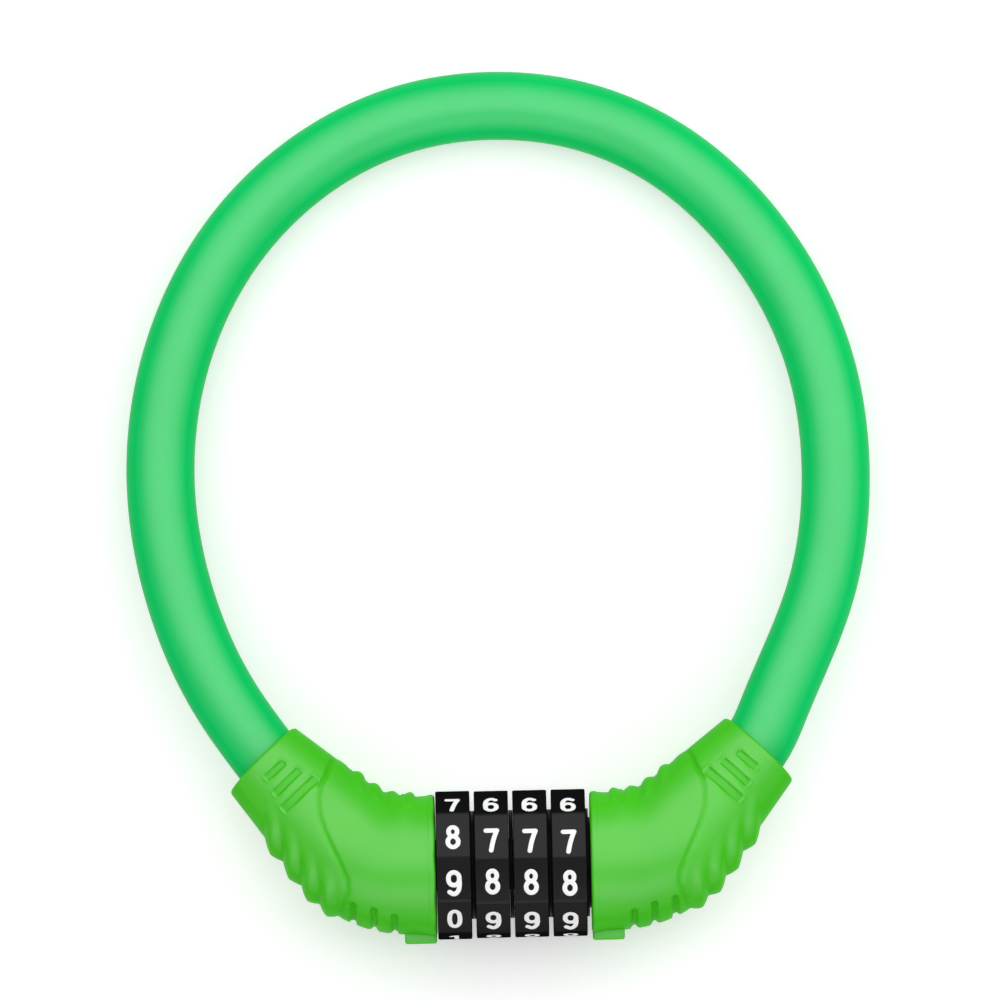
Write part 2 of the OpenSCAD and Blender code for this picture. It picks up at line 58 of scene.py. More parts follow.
# How near two points lie that are doubles of each other, in metres.
DOUBLED = 1e-7
WHITE = (1.0, 1.0, 1.0, 1.0)
BLACK = (0.0, 0.0, 0.0, 1.0)

Piece = bpy.types.Object
Socket = bpy.types.NodeSocket
Point = tuple[float, float]
Triple = tuple[float, float, float]


class Body(Enum):
    """The bodies that move apart."""

    LOCK = "lock_body"
    PULL_OFF = "pull_off_end"
    DIAL_1 = "dial_1_body"
    DIAL_2 = "dial_2_body"
    DIAL_3 = "dial_3_body"
    DIAL_4 = "dial_4_body"


class Slot(Enum):
    """The record's material slots."""

    COVER = "cover_green"
    SLEEVE = "sleeve_green"
    ROPE = "rope_steel"
    DIAL = "dial_black"


# ---------------------------------------------------------------- hand tools


class Bench:
    """The hand tools that every piece is made with."""

    @staticmethod
    def deselect() -> None:
        """Leaves edit mode and selects nothing."""
        if bpy.context.object and bpy.context.object.mode != "OBJECT":
            Bench.shut()
        bpy.ops.object.select_all(action="DESELECT")

    @staticmethod
    def pick(*pieces: Piece) -> None:
        """Selects these pieces alone and makes the first one active.

        Args:
            pieces: The pieces to select.
        """
        Bench.deselect()
        for piece in pieces:
            piece.select_set(True)
        bpy.context.view_layer.objects.active = pieces[0]

    @staticmethod
    def edit(piece: Piece, action: str = "SELECT") -> None:
        """Opens a piece in edit mode, by its edges.

        Args:
            piece: The piece to open.
            action: SELECT to select all of it, or DESELECT to select nothing.
        """
        Bench.pick(piece)
        bpy.ops.object.mode_set(mode="EDIT")
        bpy.ops.mesh.select_mode(type="EDGE")
        bpy.ops.mesh.select_all(action=action)

    @staticmethod
    def edit_vertices(piece: Piece, chosen: np.ndarray) -> None:
        """Opens a piece in edit mode with the edges between the chosen vertices selected.

        Args:
            piece: The piece to open.
            chosen: True for each vertex to select.
        """
        Bench.pick(piece)
        bpy.ops.object.mode_set(mode="EDIT")
        bpy.ops.mesh.select_mode(type="VERT")
        bpy.ops.mesh.select_all(action="DESELECT")
        Bench.shut()
        piece.data.vertices.foreach_set("select", chosen)
        bpy.ops.object.mode_set(mode="EDIT")
        bpy.ops.mesh.select_mode(type="EDGE")

    @staticmethod
    def shut() -> None:
        """Leaves edit mode."""
        bpy.ops.object.mode_set(mode="OBJECT")

    @staticmethod
    def extrude(step: Sequence[float]) -> None:
        """Extrudes the selected edges by a step in metres."""
        bpy.ops.mesh.extrude_edges_move(TRANSFORM_OT_translate={"value": step})

    @staticmethod
    def swing(angle: float, at: Vector) -> None:
        """Turns what is selected about the upright through a point in metres."""
        # With no window, transform.rotate turns the other way.
        if angle:
            bpy.ops.transform.rotate(value=-angle, orient_axis="Z", center_override=at)

    @staticmethod
    def swell(share: float, at: Vector) -> None:
        """Scales what is selected about a point in metres."""
        bpy.ops.transform.resize(value=(share, share, share), center_override=at)

    @staticmethod
    def settle(piece: Piece, place: Matrix | None = None) -> None:
        """Puts a piece in its place and moves that place into its mesh.

        Args:
            piece: The piece, which ends at the origin.
            place: Where it goes, or None where it already is.
        """
        Bench.pick(piece)
        if place is not None:
            piece.matrix_world = place @ piece.matrix_world
        bpy.ops.object.transform_apply(location=True, rotation=True, scale=True)

    @staticmethod
    def apply(piece: Piece, kind: str, **settings: object) -> None:
        """Adds a modifier and applies it at once.

        Args:
            piece: The piece that gets it.
            kind: Blender's name for the kind of modifier.
            settings: Values for the modifier's own fields.
        """
        Bench.pick(piece)
        modifier = piece.modifiers.new("shaping", kind)
        for name, value in settings.items():
            setattr(modifier, name, value)
        bpy.ops.object.modifier_apply(modifier=modifier.name)

    @staticmethod
    def points(piece: Piece) -> np.ndarray:
        """Reads the points of a piece.

        Args:
            piece: The piece to read.

        Returns:
            One row of three numbers for each vertex, in millimetres.
        """
        found = np.empty(len(piece.data.vertices) * 3)
        piece.data.vertices.foreach_get("co", found)
        return found.reshape(-1, 3) / MM

    @staticmethod
    def move_points(piece: Piece, points: np.ndarray) -> None:
        """Moves a piece's points to new rows in millimetres, as a sculpting brush would."""
        piece.data.vertices.foreach_set("co", (points * MM).ravel())
        piece.data.update()

    @staticmethod
    def weld(piece: Piece) -> None:
        """Merges the doubled points of a piece and turns its faces outwards.

        Args:
            piece: The piece to mend.
        """
        Bench.edit(piece)
        bpy.ops.mesh.remove_doubles(threshold=DOUBLED)
        bpy.ops.mesh.normals_make_consistent(inside=False)
        Bench.shut()

    @staticmethod
    def tube(
        sides: int, radius: float, length: float, middle: float = 0.0, fill: str = "NOTHING",
        place: Matrix | None = None,
    ) -> Piece:
        """Adds a cylinder along the dials' axis. Lengths in millimetres.

        Args:
            sides: How many sides it has.
            radius: The radius to its corners.
            length: Its length.
            middle: Where its middle lies along the axis.
            fill: Blender's name for how its ends are filled.
            place: What moves it from there, or None.

        Returns:
            The cylinder.
        """
        Bench.deselect()
        bpy.ops.mesh.primitive_cylinder_add(
            vertices=sides, radius=radius * MM, depth=length * MM, end_fill_type=fill,
            location=(middle * MM, 0.0, 0.0), rotation=(0.0, math.pi / 2, 0.0),
        )
        made = bpy.context.object
        Bench.settle(made, place)
        return made

    @staticmethod
    def add(name: str, data: bpy.types.ID) -> Piece:
        """Adds an object that shows a curve, a lamp or a camera.

        Args:
            name: The object's name.
            data: What it shows.

        Returns:
            The object.
        """
        made = bpy.data.objects.new(name, data)
        bpy.context.scene.collection.objects.link(made)
        return made

    @staticmethod
    def round_pen(name: str, radius: float, fineness: int) -> bpy.types.Curve:
        """Starts a curve that is drawn with a round pen.

        Args:
            name: The curve's name.
            radius: The pen's radius in millimetres.
            fineness: How many points its section has between two quarters.

        Returns:
            The curve, with no points yet.
        """
        data = bpy.data.curves.new(name, "CURVE")
        data.dimensions = "3D"
        data.bevel_depth = radius * MM
        data.bevel_resolution = fineness
        data.use_fill_caps = True
        return data

    @staticmethod
    def drawn(name: str, data: bpy.types.Curve) -> Piece:
        """Turns a curve into a mesh.

        Args:
            name: The name of the piece.
            data: The curve.

        Returns:
            The piece.
        """
        Bench.pick(Bench.add(name, data))
        bpy.ops.object.convert(target="MESH")
        return bpy.context.object

    @staticmethod
    def copy(piece: Piece, name: str) -> Piece:
        """Copies a piece with a mesh of its own.

        Args:
            piece: The piece to copy.
            name: The name of the copy.

        Returns:
            The copy.
        """
        Bench.pick(piece)
        bpy.ops.object.duplicate()
        made = bpy.context.object
        made.name = made.data.name = name
        return made

    @staticmethod
    def join(name: str, pieces: Sequence[Piece]) -> Piece:
        """Joins pieces into one.

        Args:
            name: The name of the joined piece.
            pieces: The pieces, of which the first one is kept.

        Returns:
            The joined piece.
        """
        Bench.pick(*pieces)
        bpy.ops.object.join()
        made = bpy.context.object
        made.name = made.data.name = name
        return made

    @staticmethod
    def smooth(piece: Piece, degrees: float) -> None:
        """Shades a piece smooth, and keeps the edges that are sharper than some degrees."""
        Bench.pick(piece)
        bpy.ops.object.shade_smooth_by_angle(angle=math.radians(degrees))


def rounding(radius: float, edge: float, steps: int) -> Iterator[tuple[float, float]]:
    """Walks round the quarter circle of a softened edge.

    Args:
        radius: The radius before the edge.
        edge: The radius of the edge itself.
        steps: How many steps the quarter circle has.

    Yields:
        How far each step goes on, as a share of the edge, and by which share it shrinks what it starts from.
    """
    for i in range(1, steps + 1):
        last, now = math.pi / 2 / steps * (i - 1), math.pi / 2 / steps * i
        before = radius - edge * (1.0 - math.cos(last))
        yield math.sin(now) - math.sin(last), (radius - edge * (1.0 - math.cos(now))) / before


def ease(low: float, high: float, value: np.ndarray) -> np.ndarray:
    """Goes smoothly from 0 at low to 1 at high, which may be the smaller of the two."""
    t = np.clip((value - low) / (high - low), 0.0, 1.0)
    return t * t * (3.0 - 2.0 * t)


def off_segment(x: np.ndarray, y: np.ndarray, start: Point, end: Point) -> np.ndarray:
    """Measures how far places are from a straight line between two points.

    Args:
        x: The places' first coordinate.
        y: The places' second coordinate.
        start: One end of the line.
        end: Its other end.

    Returns:
        The distance of each place.
    """
    along = np.array(end) - np.array(start)
    t = np.clip(((x - start[0]) * along[0] + (y - start[1]) * along[1]) / (along @ along), 0.0, 1.0)
    return np.hypot(x - start[0] - t * along[0], y - start[1] - t * along[1])


def off_bar(
    x: np.ndarray, y: np.ndarray, start: Point, end: Point, width: float, corner: float,
) -> np.ndarray:
    """Measures how far places are from the outline of a straight bar with slightly rounded corners.

    Args:
        x: The places' first coordinate.
        y: The places' second coordinate.
        start: The middle of one end of the bar.
        end: The middle of its other end.
        width: Its width.
        corner: The radius of its corners.

    Returns:
        The distance of each place, below 0 inside the bar.
    """
    run = np.array(end) - np.array(start)
    length = math.hypot(*run)
    way = run / length
    from_x, from_y = x - (start[0] + end[0]) / 2, y - (start[1] + end[1]) / 2
    over = np.abs(from_x * way[0] + from_y * way[1]) - length / 2 + corner
    aside = np.abs(from_y * way[0] - from_x * way[1]) - width / 2 + corner
    outside = np.hypot(np.maximum(over, 0.0), np.maximum(aside, 0.0))
    return outside + np.minimum(np.maximum(over, aside), 0.0) - corner


def smooth_route(stops: np.ndarray, spacing: float) -> np.ndarray:
    """Runs one smooth curve through points, as a bent cable does.

    Args:
        stops: The points that it goes through.
        spacing: About how far apart the points on it are.

    Returns:
        The points on the curve, from the first stop to the last.
    """
    gaps = np.linalg.norm(np.diff(stops, axis=0), axis=1)
    count = len(stops)
    system = np.eye(count)
    right = np.zeros_like(stops)
    for i in range(1, count - 1):
        system[i, i - 1], system[i, i + 1] = gaps[i - 1], gaps[i]
        system[i, i] = 2.0 * (gaps[i - 1] + gaps[i])
        right[i] = 6.0 * ((stops[i + 1] - stops[i]) / gaps[i] - (stops[i] - stops[i - 1]) / gaps[i - 1])
    bend = np.linalg.solve(system, right)
    made = []
    for i, gap in enumerate(gaps):
        steps = max(1, round(gap / spacing))
        for step in range(steps):
            u = gap * step / steps
            v = gap - u
            made.append(
                (bend[i] * v**3 + bend[i + 1] * u**3) / (6.0 * gap)
                + (stops[i] / gap - bend[i] * gap / 6.0) * v
                + (stops[i + 1] / gap - bend[i + 1] * gap / 6.0) * u
            )
    made.append(stops[-1])
    return np.array(made)


# ---------------------------------------------------------------- the lock's own plane


@dataclass(frozen=True)
class LockPlane:
    """The leaning plane of the lock, which the solids are drawn in too. Lengths in millimetres."""

    dial_corner_r: float = 16.5
    sleeve_r: float = 7.5
    loop_reach: float = 167.4
    axis_y: float = -6.922
    left_face: float = -16.5
    right_face: float = 17.3
    elbow_x: float = 18.65
    socket_angle: float = 54.0

    @property
    def tilt(self) -> float:
        """The lean, in radians."""
        return math.atan((self.dial_corner_r - self.sleeve_r) / self.loop_reach)

    def lie(self) -> Matrix:
        """Sets the lock's plane down on the floor."""
        height = self.dial_corner_r * math.cos(self.tilt)
        return Matrix.Translation((0.0, self.axis_y * MM, height * MM)) @ Matrix.Rotation(-self.tilt, 4, "X")

    def at_left(self) -> Matrix:
        """Places a piece that is drawn outwards from the left end of the dials."""
        face = Matrix.Translation((self.left_face * MM, 0.0, 0.0))
        return self.lie() @ face @ Matrix.Rotation(math.pi, 4, "Y")

    def at_right(self) -> Matrix:
        """Places a piece that is drawn outwards from the right end of the dials."""
        return self.lie() @ Matrix.Translation((self.right_face * MM, 0.0, 0.0))

    def socket(self, side: int, reach: float) -> Point:
        """Finds a point on the line of a cable socket.

        Args:
            side: -1 for the left socket and 1 for the right one.
            reach: The distance from the elbow.

        Returns:
            The point in the lock's plane.
        """
        face = self.left_face if side < 0 else self.right_face
        angle = math.radians(self.socket_angle)
        return (face + side * (self.elbow_x + reach * math.cos(angle)), reach * math.sin(angle))


PLANE = LockPlane()


# ---------------------------------------------------------------- finishes


class NodeBoard:
    """Lays and wires the nodes of one material or one group."""

    def __init__(self, tree: bpy.types.NodeTree) -> None:
        """Starts on a tree, and empties it."""
        self.tree = tree
        tree.nodes.clear()

    def feed(self, entry: Socket, value: object) -> None:
        """Wires an output to an input, or sets the input to a constant.

        Args:
            entry: The input.
            value: The output or the constant.
        """
        if isinstance(value, Socket):
            self.tree.links.new(value, entry)
        else:
            entry.default_value = value

    def node(
        self, kind: str, feeds: dict[str | int, object] | None = None, **settings: object,
    ) -> bpy.types.Node:
        """Adds a node.

        Args:
            kind: Blender's name for the kind of node.
            feeds: The output or constant for each input, by the input's name or number.
            settings: Values for its own fields.

        Returns:
            The node.
        """
        made = self.tree.nodes.new(kind)
        for name, value in settings.items():
            setattr(made, name, value)
        for entry, value in (feeds or {}).items():
            self.feed(made.inputs[entry], value)
        return made

    def noise(self, vector: Socket, scale: object, detail: float) -> Socket:
        """Adds noise from 0 to 1, by how many lumps lie on a metre and how many finer layers it has."""
        feeds = {"Vector": vector, "Scale": scale, "Detail": detail}
        return self.node("ShaderNodeTexNoise", feeds).outputs["Fac"]

    def math(self, operation: str, first: object, second: object) -> Socket:
        """Adds a sum of two numbers or outputs, by Blender's name for that sum."""
        return self.node("ShaderNodeMath", {0: first, 1: second}, operation=operation).outputs[0]

    def spread(self, value: Socket, ends: tuple[object, object], low: object, high: object) -> Socket:
        """Stretches a value from its own ends to two new ones.

        Args:
            value: The value.
            ends: The numbers or outputs at which it starts and ends.
            low: A number or output for its start.
            high: A number or output for its end.

        Returns:
            The stretched value.
        """
        return self.node("ShaderNodeMapRange", {
            "Value": value, "From Min": ends[0], "From Max": ends[1], "To Min": low, "To Max": high,
        }).outputs["Result"]

    def blend(self, share: Socket, first: object, second: object) -> Socket:
        """Mixes two colours or outputs, by the share of the second one."""
        return self.node("ShaderNodeMix", {"Factor": share, 6: first, 7: second}, data_type="RGBA").outputs[2]


class EffectGroup:
    """A node group that several finishes share, built once."""

    name = ""
    entries: tuple[tuple[str, str], ...] = ()
    results: tuple[tuple[str, str], ...] = ()

    @classmethod
    def tree(cls) -> bpy.types.NodeTree:
        """Builds the group, or finds it where it was built before.

        Returns:
            The group's tree.
        """
        if cls.name in bpy.data.node_groups:
            return bpy.data.node_groups[cls.name]
        made = bpy.data.node_groups.new(cls.name, "ShaderNodeTree")
        for name, kind in cls.entries:
            made.interface.new_socket(name, in_out="INPUT", socket_type=kind)
        for name, kind in cls.results:
            made.interface.new_socket(name, in_out="OUTPUT", socket_type=kind)
        board = NodeBoard(made)
        cls.fill(board, board.node("NodeGroupInput"), board.node("NodeGroupOutput"))
        return made

    @classmethod
    def fill(cls, board: NodeBoard, entry: bpy.types.Node, result: bpy.types.Node) -> None:
        """Lays the group's own nodes."""
        raise NotImplementedError

    @classmethod
    def place(cls, board: NodeBoard, feeds: dict[str, object]) -> bpy.types.bpy_prop_collection:
        """Places the group in a material, with what feeds each of its inputs, and gives its outputs."""
        return board.node("ShaderNodeGroup", feeds, node_tree=cls.tree()).outputs


COLOUR, NUMBER = "NodeSocketColor", "NodeSocketFloat"


class MouldedSkin(EffectGroup):
    """Uneven colour, uneven gloss and the fine grain of a moulded surface."""

    name = "moulded_skin"
    entries = (
        ("Colour", COLOUR), ("Cloud Colour", COLOUR), ("Cloud Size", NUMBER), ("Grain Size", NUMBER),
        ("Dull", NUMBER), ("Glossy", NUMBER),
    )
    results = (("Colour", COLOUR), ("Roughness", NUMBER), ("Height", NUMBER))
    cloud_detail = 3.0
    cloud_ends = (0.35, 0.68)
    rub_size = 190.0
    rub_detail = 4.0
    rub_ends = (0.3, 0.7)
    grain_detail = 2.0

    @classmethod
    def fill(cls, board: NodeBoard, entry: bpy.types.Node, result: bpy.types.Node) -> None:
        """Lays broad clouds for the colour, rubbed patches for the gloss and a fine grain for the height.

        Args:
            board: The group's board.
            entry: The node that holds the group's inputs.
            result: The node that holds its outputs.
        """
        given = entry.outputs
        place = board.node("ShaderNodeTexCoord").outputs["Object"]
        cloud = board.noise(place, given["Cloud Size"], cls.cloud_detail)
        share = board.spread(cloud, cls.cloud_ends, 0.0, 1.0)
        board.feed(result.inputs["Colour"], board.blend(share, given["Colour"], given["Cloud Colour"]))
        patches = board.noise(place, cls.rub_size, cls.rub_detail)
        rubbed = board.spread(patches, cls.rub_ends, given["Glossy"], given["Dull"])
        board.feed(result.inputs["Roughness"], rubbed)
        board.feed(result.inputs["Height"], board.noise(place, given["Grain Size"], cls.grain_detail))


class RubbedEdges(EffectGroup):
    """A mask of the edges that hands rub."""

    name = "rubbed_edges"
    entries = (("Start", NUMBER), ("End", NUMBER))
    results = (("Mask", NUMBER),)
    patch_size = 420.0
    patch_detail = 4.0
    patch_ends = (0.35, 0.6)
    least = 0.25

    @classmethod
    def fill(cls, board: NodeBoard, entry: bpy.types.Node, result: bpy.types.Node) -> None:
        """Finds the raised edges and breaks them up.

        Args:
            board: The group's board.
            entry: The node that holds the group's inputs.
            result: The node that holds its outputs.
        """
        sharp = board.node("ShaderNodeNewGeometry").outputs["Pointiness"]
        raised = board.spread(sharp, (entry.outputs["Start"], entry.outputs["End"]), 0.0, 1.0)
        place = board.node("ShaderNodeTexCoord").outputs["Object"]
        patches = board.noise(place, cls.patch_size, cls.patch_detail)
        kept = board.spread(patches, cls.patch_ends, cls.least, 1.0)
        board.feed(result.inputs["Mask"], board.math("MULTIPLY", raised, kept))


@dataclass(frozen=True)
class Finish:
    """What every finish has: linear colours, lumps and grains counted on a metre, a reach in metres."""

    name: str
    colour: Triple
    cloud: Triple
    glossy: float
    dull: float
    cloud_size: float = 60.0
    grain_size: float = 2600.0
    grain_depth: float = 0.04
    grain_reach: float = 0.0002

    def material(self) -> bpy.types.Material:
        """Builds the finish's material.

        Returns:
            The material.
        """
        made = bpy.data.materials.new(self.name)
        made.use_nodes = True
        made.diffuse_color = (*self.colour, 1.0)
        board = NodeBoard(made.node_tree)
        skin = MouldedSkin.place(board, {
            "Colour": (*self.colour, 1.0), "Cloud Colour": (*self.cloud, 1.0), "Cloud Size": self.cloud_size,
            "Grain Size": self.grain_size, "Dull": self.dull, "Glossy": self.glossy,
        })
        bump = board.node("ShaderNodeBump", {
            "Strength": self.grain_depth, "Distance": self.grain_reach,
            "Height": self.relief(board, skin["Height"]),
        })
        shader = board.node("ShaderNodeBsdfPrincipled", {
            "Base Color": self.paint(board, skin["Colour"]), "Roughness": skin["Roughness"],
            "Normal": bump.outputs["Normal"], **self.sheen(board),
        })
        board.node("ShaderNodeOutputMaterial", {"Surface": shader.outputs["BSDF"]})
        return made

    def relief(self, board: NodeBoard, grain: Socket) -> Socket:
        """Leaves the grain as it is."""
        return grain

    def paint(self, board: NodeBoard, colour: Socket) -> Socket:
        """Leaves the colour as it is."""
        return colour

    def sheen(self, board: NodeBoard) -> dict[str, object]:
        """Says what else goes into the shader."""
        raise NotImplementedError


@dataclass(frozen=True)
class Plastic(Finish):
    """A plastic finish, with a clear coat where coat isn't 0."""

    shine: float = 0.5
    coat: float = 0.0
    coat_ior: float = 1.5
    coat_roughness: float = 0.3
    veil: Point = (0.10, 0.42)
    edge: Triple | None = None
    edge_start: float = 0.53
    edge_end: float = 0.62
    # A painted shade: how far the colour darkens towards black deep in a groove.
    groove_painted_shade: float = 0.0
    groove_dull: float = 0.0

    @staticmethod
    def groove(board: NodeBoard) -> Socket:
        """Reads how far a place lies in a groove, from the piece itself."""
        return board.node("ShaderNodeAttribute", attribute_name="groove").outputs["Fac"]

    def paint(self, board: NodeBoard, colour: Socket) -> Socket:
        """Lightens the rubbed edges, and darkens the grooves with painted shade.

        Args:
            board: The material's board.
            colour: The colour before that.

        Returns:
            The colour after it.
        """
        if self.edge is not None:
            rubbed = RubbedEdges.place(board, {"Start": self.edge_start, "End": self.edge_end})
            colour = board.blend(rubbed["Mask"], colour, (*self.edge, 1.0))
        # Darkens the grooves towards black, as painted shade.
        if self.groove_painted_shade:
            share = board.math("MULTIPLY", self.groove(board), self.groove_painted_shade)
            colour = board.blend(share, colour, BLACK)
        return colour

    def sheen(self, board: NodeBoard) -> dict[str, object]:
        """Lays the clear coat, which fades towards the piece's outline and in its grooves.

        Args:
            board: The material's board.

        Returns:
            What goes into the shader's inputs.
        """
        if not self.coat:
            return {"Specular IOR Level": self.shine}
        facing = board.node("ShaderNodeLayerWeight", {"Blend": 0.5}).outputs["Facing"]
        weight = board.spread(facing, self.veil, self.coat, 0.0)
        if self.groove_dull:
            kept = board.spread(self.groove(board), (0.0, 1.0), 1.0, 1.0 - self.groove_dull)
            weight = board.math("MULTIPLY", weight, kept)
        return {
            "Specular IOR Level": self.shine, "Coat Weight": weight, "Coat Roughness": self.coat_roughness,
            "Coat IOR": self.coat_ior,
        }


class Working(Enum):
    """How a metal surface was worked."""

    CAST = "cast"
    TURNED = "turned"


@dataclass(frozen=True)
class Metal(Finish):
    """A metal finish."""

    cloud_size: float = 240.0
    grain_size: float = 4000.0
    grain_depth: float = 0.05
    grain_reach: float = 0.0003
    working: Working = Working.TURNED
    mark_size: float = 900.0
    mark_waver: float = 0.6

    def relief(self, board: NodeBoard, grain: Socket) -> Socket:
        """Adds the fine marks of turning.

        Args:
            board: The material's board.
            grain: The height of the grain.

        Returns:
            The height with the marks, where there are any.
        """
        if self.working is Working.CAST:
            return grain
        place = board.node("ShaderNodeTexCoord").outputs["Object"]
        marks = board.node(
            "ShaderNodeTexWave", {"Vector": place, "Scale": self.mark_size, "Distortion": self.mark_waver},
            wave_type="BANDS", bands_direction="X",
        )
        return board.math("ADD", grain, marks.outputs["Fac"])

    def sheen(self, board: NodeBoard) -> dict[str, object]:
        """Makes the surface a metal."""
        return {"Metallic": 1.0}


# The cover darkens its grooves with painted shade, and thins their coat.
COVER_RUBBER = Plastic(
    "soft_green_cover", (0.058, 0.56, 0.008), (0.048, 0.53, 0.006), glossy=0.45, dull=0.55, grain_depth=0.10,
    shine=0.06, coat=0.68, coat_ior=2.0, coat_roughness=0.42, groove_painted_shade=0.07, groove_dull=0.85,
)
SLEEVE_VINYL = Plastic(
    "green_vinyl_sleeve", (0.001, 0.59, 0.128), (0.001, 0.56, 0.118), glossy=0.32, dull=0.40,
    grain_size=1400.0, grain_depth=0.03, shine=0.03, coat=0.66, coat_ior=2.2, coat_roughness=0.45,
    veil=(0.0, 0.34),
)
DIAL_PLASTIC = Plastic(
    "black_dial", (0.0055, 0.0051, 0.0058), (0.0070, 0.0065, 0.0075), glossy=0.32, dull=0.44,
    grain_depth=0.05, shine=0.0, coat=0.52, veil=(0.20, 0.45), edge=(0.022, 0.021, 0.023),
)
DIGIT_PAINT = Plastic(
    "white_digit_paint", (0.94, 0.94, 0.93), (0.90, 0.90, 0.89), glossy=0.38, dull=0.50, cloud_size=900.0,
    grain_depth=0.05, shine=0.2,
)
BARREL_PLASTIC = Plastic(
    "black_barrel", (0.0070, 0.0065, 0.0075), (0.0100, 0.0095, 0.0105), glossy=0.35, dull=0.50,
    grain_depth=0.05, shine=0.1,
)
CAST_ZINC = Metal(
    "cast_zinc", (0.52, 0.54, 0.56), (0.40, 0.42, 0.44), glossy=0.34, dull=0.52, grain_size=1500.0,
    grain_depth=0.12, working=Working.CAST,
)
TURNED_STEEL = Metal("turned_steel", (0.44, 0.45, 0.46), (0.34, 0.35, 0.37), glossy=0.22, dull=0.34)
SPRING_STEEL = Metal("spring_steel", (0.36, 0.37, 0.39), (0.28, 0.29, 0.31), glossy=0.25, dull=0.38)
ROPE_STEEL = Metal("rope_steel", (0.50, 0.51, 0.52), (0.36, 0.37, 0.38), glossy=0.30, dull=0.45)


def dress(piece: Piece, finish: Finish) -> None:
    """Gives a piece one finish all over.

    Args:
        piece: A new piece or a CAD node.
        finish: The finish.
    """
    made = bpy.data.materials.get(finish.name) or finish.material()
    piece.data.materials.clear()
    piece.data.materials.append(made)
    piece.data.polygons.foreach_set("material_index", np.zeros(len(piece.data.polygons), dtype=np.int32))


# ---------------------------------------------------------------- covers


@dataclass
class EndCover:
    """The soft covers at both ends of the dials, drawn outwards from there. Lengths in millimetres."""

    dial_end_r: float = 15.5
    bend_end_r: float = 13.7
    mouth_r: float = 10.0
    bore_r: float = 7.65
    anchor_room_r: float = 7.75
    seat_room_r: float = 13.15
    seat_room_depth: float = 2.15
    corner_x: float = 14.2
    angle: float = 46.0
    bend_r: float = 16.0
    mouth_len: float = 33.5
    edge: float = 0.8
    edge_steps: int = 4
    sides: int = 40
    ring_step: float = 2.0
    crease: tuple[Point, ...] = (
        (22.0, 23.1), (23.3, 19.7), (24.5, 17.4), (25.1, 14.5), (25.05, 10.6), (24.2, 7.5), (22.7, 3.75),
        (20.4, -1.25), (19.4, -3.65), (19.35, -6.1), (20.1, -8.4), (21.1, -10.1),
    )
    crease_depth: float = 0.32
    crease_half_width: float = 0.55
    # By how much more the crease deepens, and where that starts and is full, across the dials' axis.
    crease_deeper: tuple[Triple, ...] = ((0.9, 16.0, 20.5), (0.3, -6.0, -10.0))
    long_slots: tuple[tuple[Point, Point, float], ...] = (
        ((32.5, 22.5), (36.6, 18.95), 1.46), ((29.1, 20.75), (34.75, 15.45), 1.54),
        ((25.5, 18.8), (33.05, 12.0), 1.8),
    )
    long_slot_depth: float = 0.4
    long_slot_corner: float = 0.35
    long_slot_wall: Point = (0.16, -0.2)
    rim_height: float = 0.13
    rim_off: float = 0.34
    rim_half_width: float = 0.18
    short_slots: tuple[Point, ...] = ((9.27, -11.45), (13.77, -9.95), (18.38, -8.65))
    short_slot_depth: float = 0.85
    short_slot_half_width: float = 0.62
    short_slot_cap: float = 0.6
    short_slot_foot: float = -30.0
    short_slot_wall: Point = (0.3, -0.3)
    short_slot_side: Point = (0.0, -0.3)
    # How much of a full groove the crease and the long slots are to the finish, which darkens the grooves
    # with painted shade and thins their coat.
    crease_groove: float = 0.7
    long_slot_groove: float = 0.5
    step_start: float = 21.7
    step_pitch: float = 3.9
    step_rise: float = 1.8
    step_height: float = 1.3
    steps: int = 4
    # Ranges named side go from the cosine of the direction where a form starts to the one where it is full.
    step_side: Point = (-0.52, -0.97)
    step_crisp_side: Point = (-0.80, -0.97)
    # Where each bump stands along the dials' axis, and its height.
    bumps: tuple[Point, ...] = ((5.6, 0.85), (9.5, 0.85), (12.8, 0.85), (16.25, 0.85), (19.9, 0.2))
    bump_half_width: float = 1.35
    bump_side: Point = (0.74, 0.95)
    web_past_bend: float = 0.9
    web_width: float = 2.7
    web_height: float = 1.3
    web_side: Point = (0.2, 0.95)
    lip_height: float = 0.15
    lip: Point = (1.7, 1.3)
    # Where the room inside changes: distances from the elbow along the socket, how much it grows at the
    # elbow, and where it shrinks back along the dials' axis.
    bore_reach: float = 26.0
    room_reach: Point = (21.2, 21.0)
    bend_reach: float = 6.5
    elbow_reach: float = 1.0
    elbow_swell: float = 1.03
    axis_room: float = 12.5
    bar_gap: float = 0.1
    bar_len: float = 7.0
    bar_width: float = 2.6
    bar_top: float = 17.0
    bar_root: float = 1.5
    bar_edge: float = 0.55
    sharp_from: float = 40.0

    @property
    def bend_tangent(self) -> float:
        """The distance from the bend's corner to where the bend starts."""
        return self.bend_r * math.tan(math.radians(self.angle) / 2)

    @property
    def bend_start(self) -> float:
        """Where the bend starts, along the centre line."""
        return self.corner_x - self.bend_tangent

    @property
    def bend_end(self) -> float:
        """Where the bend ends, along the centre line."""
        return self.bend_start + self.bend_r * math.radians(self.angle)

    @property
    def length(self) -> float:
        """The length of the centre line."""
        return self.bend_end + self.mouth_len - self.bend_tangent

    def turn(self, s: float) -> float:
        """The direction of the centre line at distance s, in radians."""
        return min(math.radians(self.angle), max(0.0, (s - self.bend_start) / self.bend_r))

    def centre(self, s: float) -> Vector:
        """Finds a point of the centre line.

        Args:
            s: Its distance along the line.

        Returns:
            The point, drawn outwards from the dials.
        """
        if s < self.bend_start:
            return Vector((s, 0.0, 0.0))
        if s < self.bend_end:
            t = self.turn(s)
            x = self.bend_start + self.bend_r * math.sin(t)
            return Vector((x, self.bend_r * (1.0 - math.cos(t)), 0.0))
        out = self.mouth_len - (self.length - s)
        a = math.radians(self.angle)
        return Vector((self.corner_x + out * math.cos(a), out * math.sin(a), 0.0))

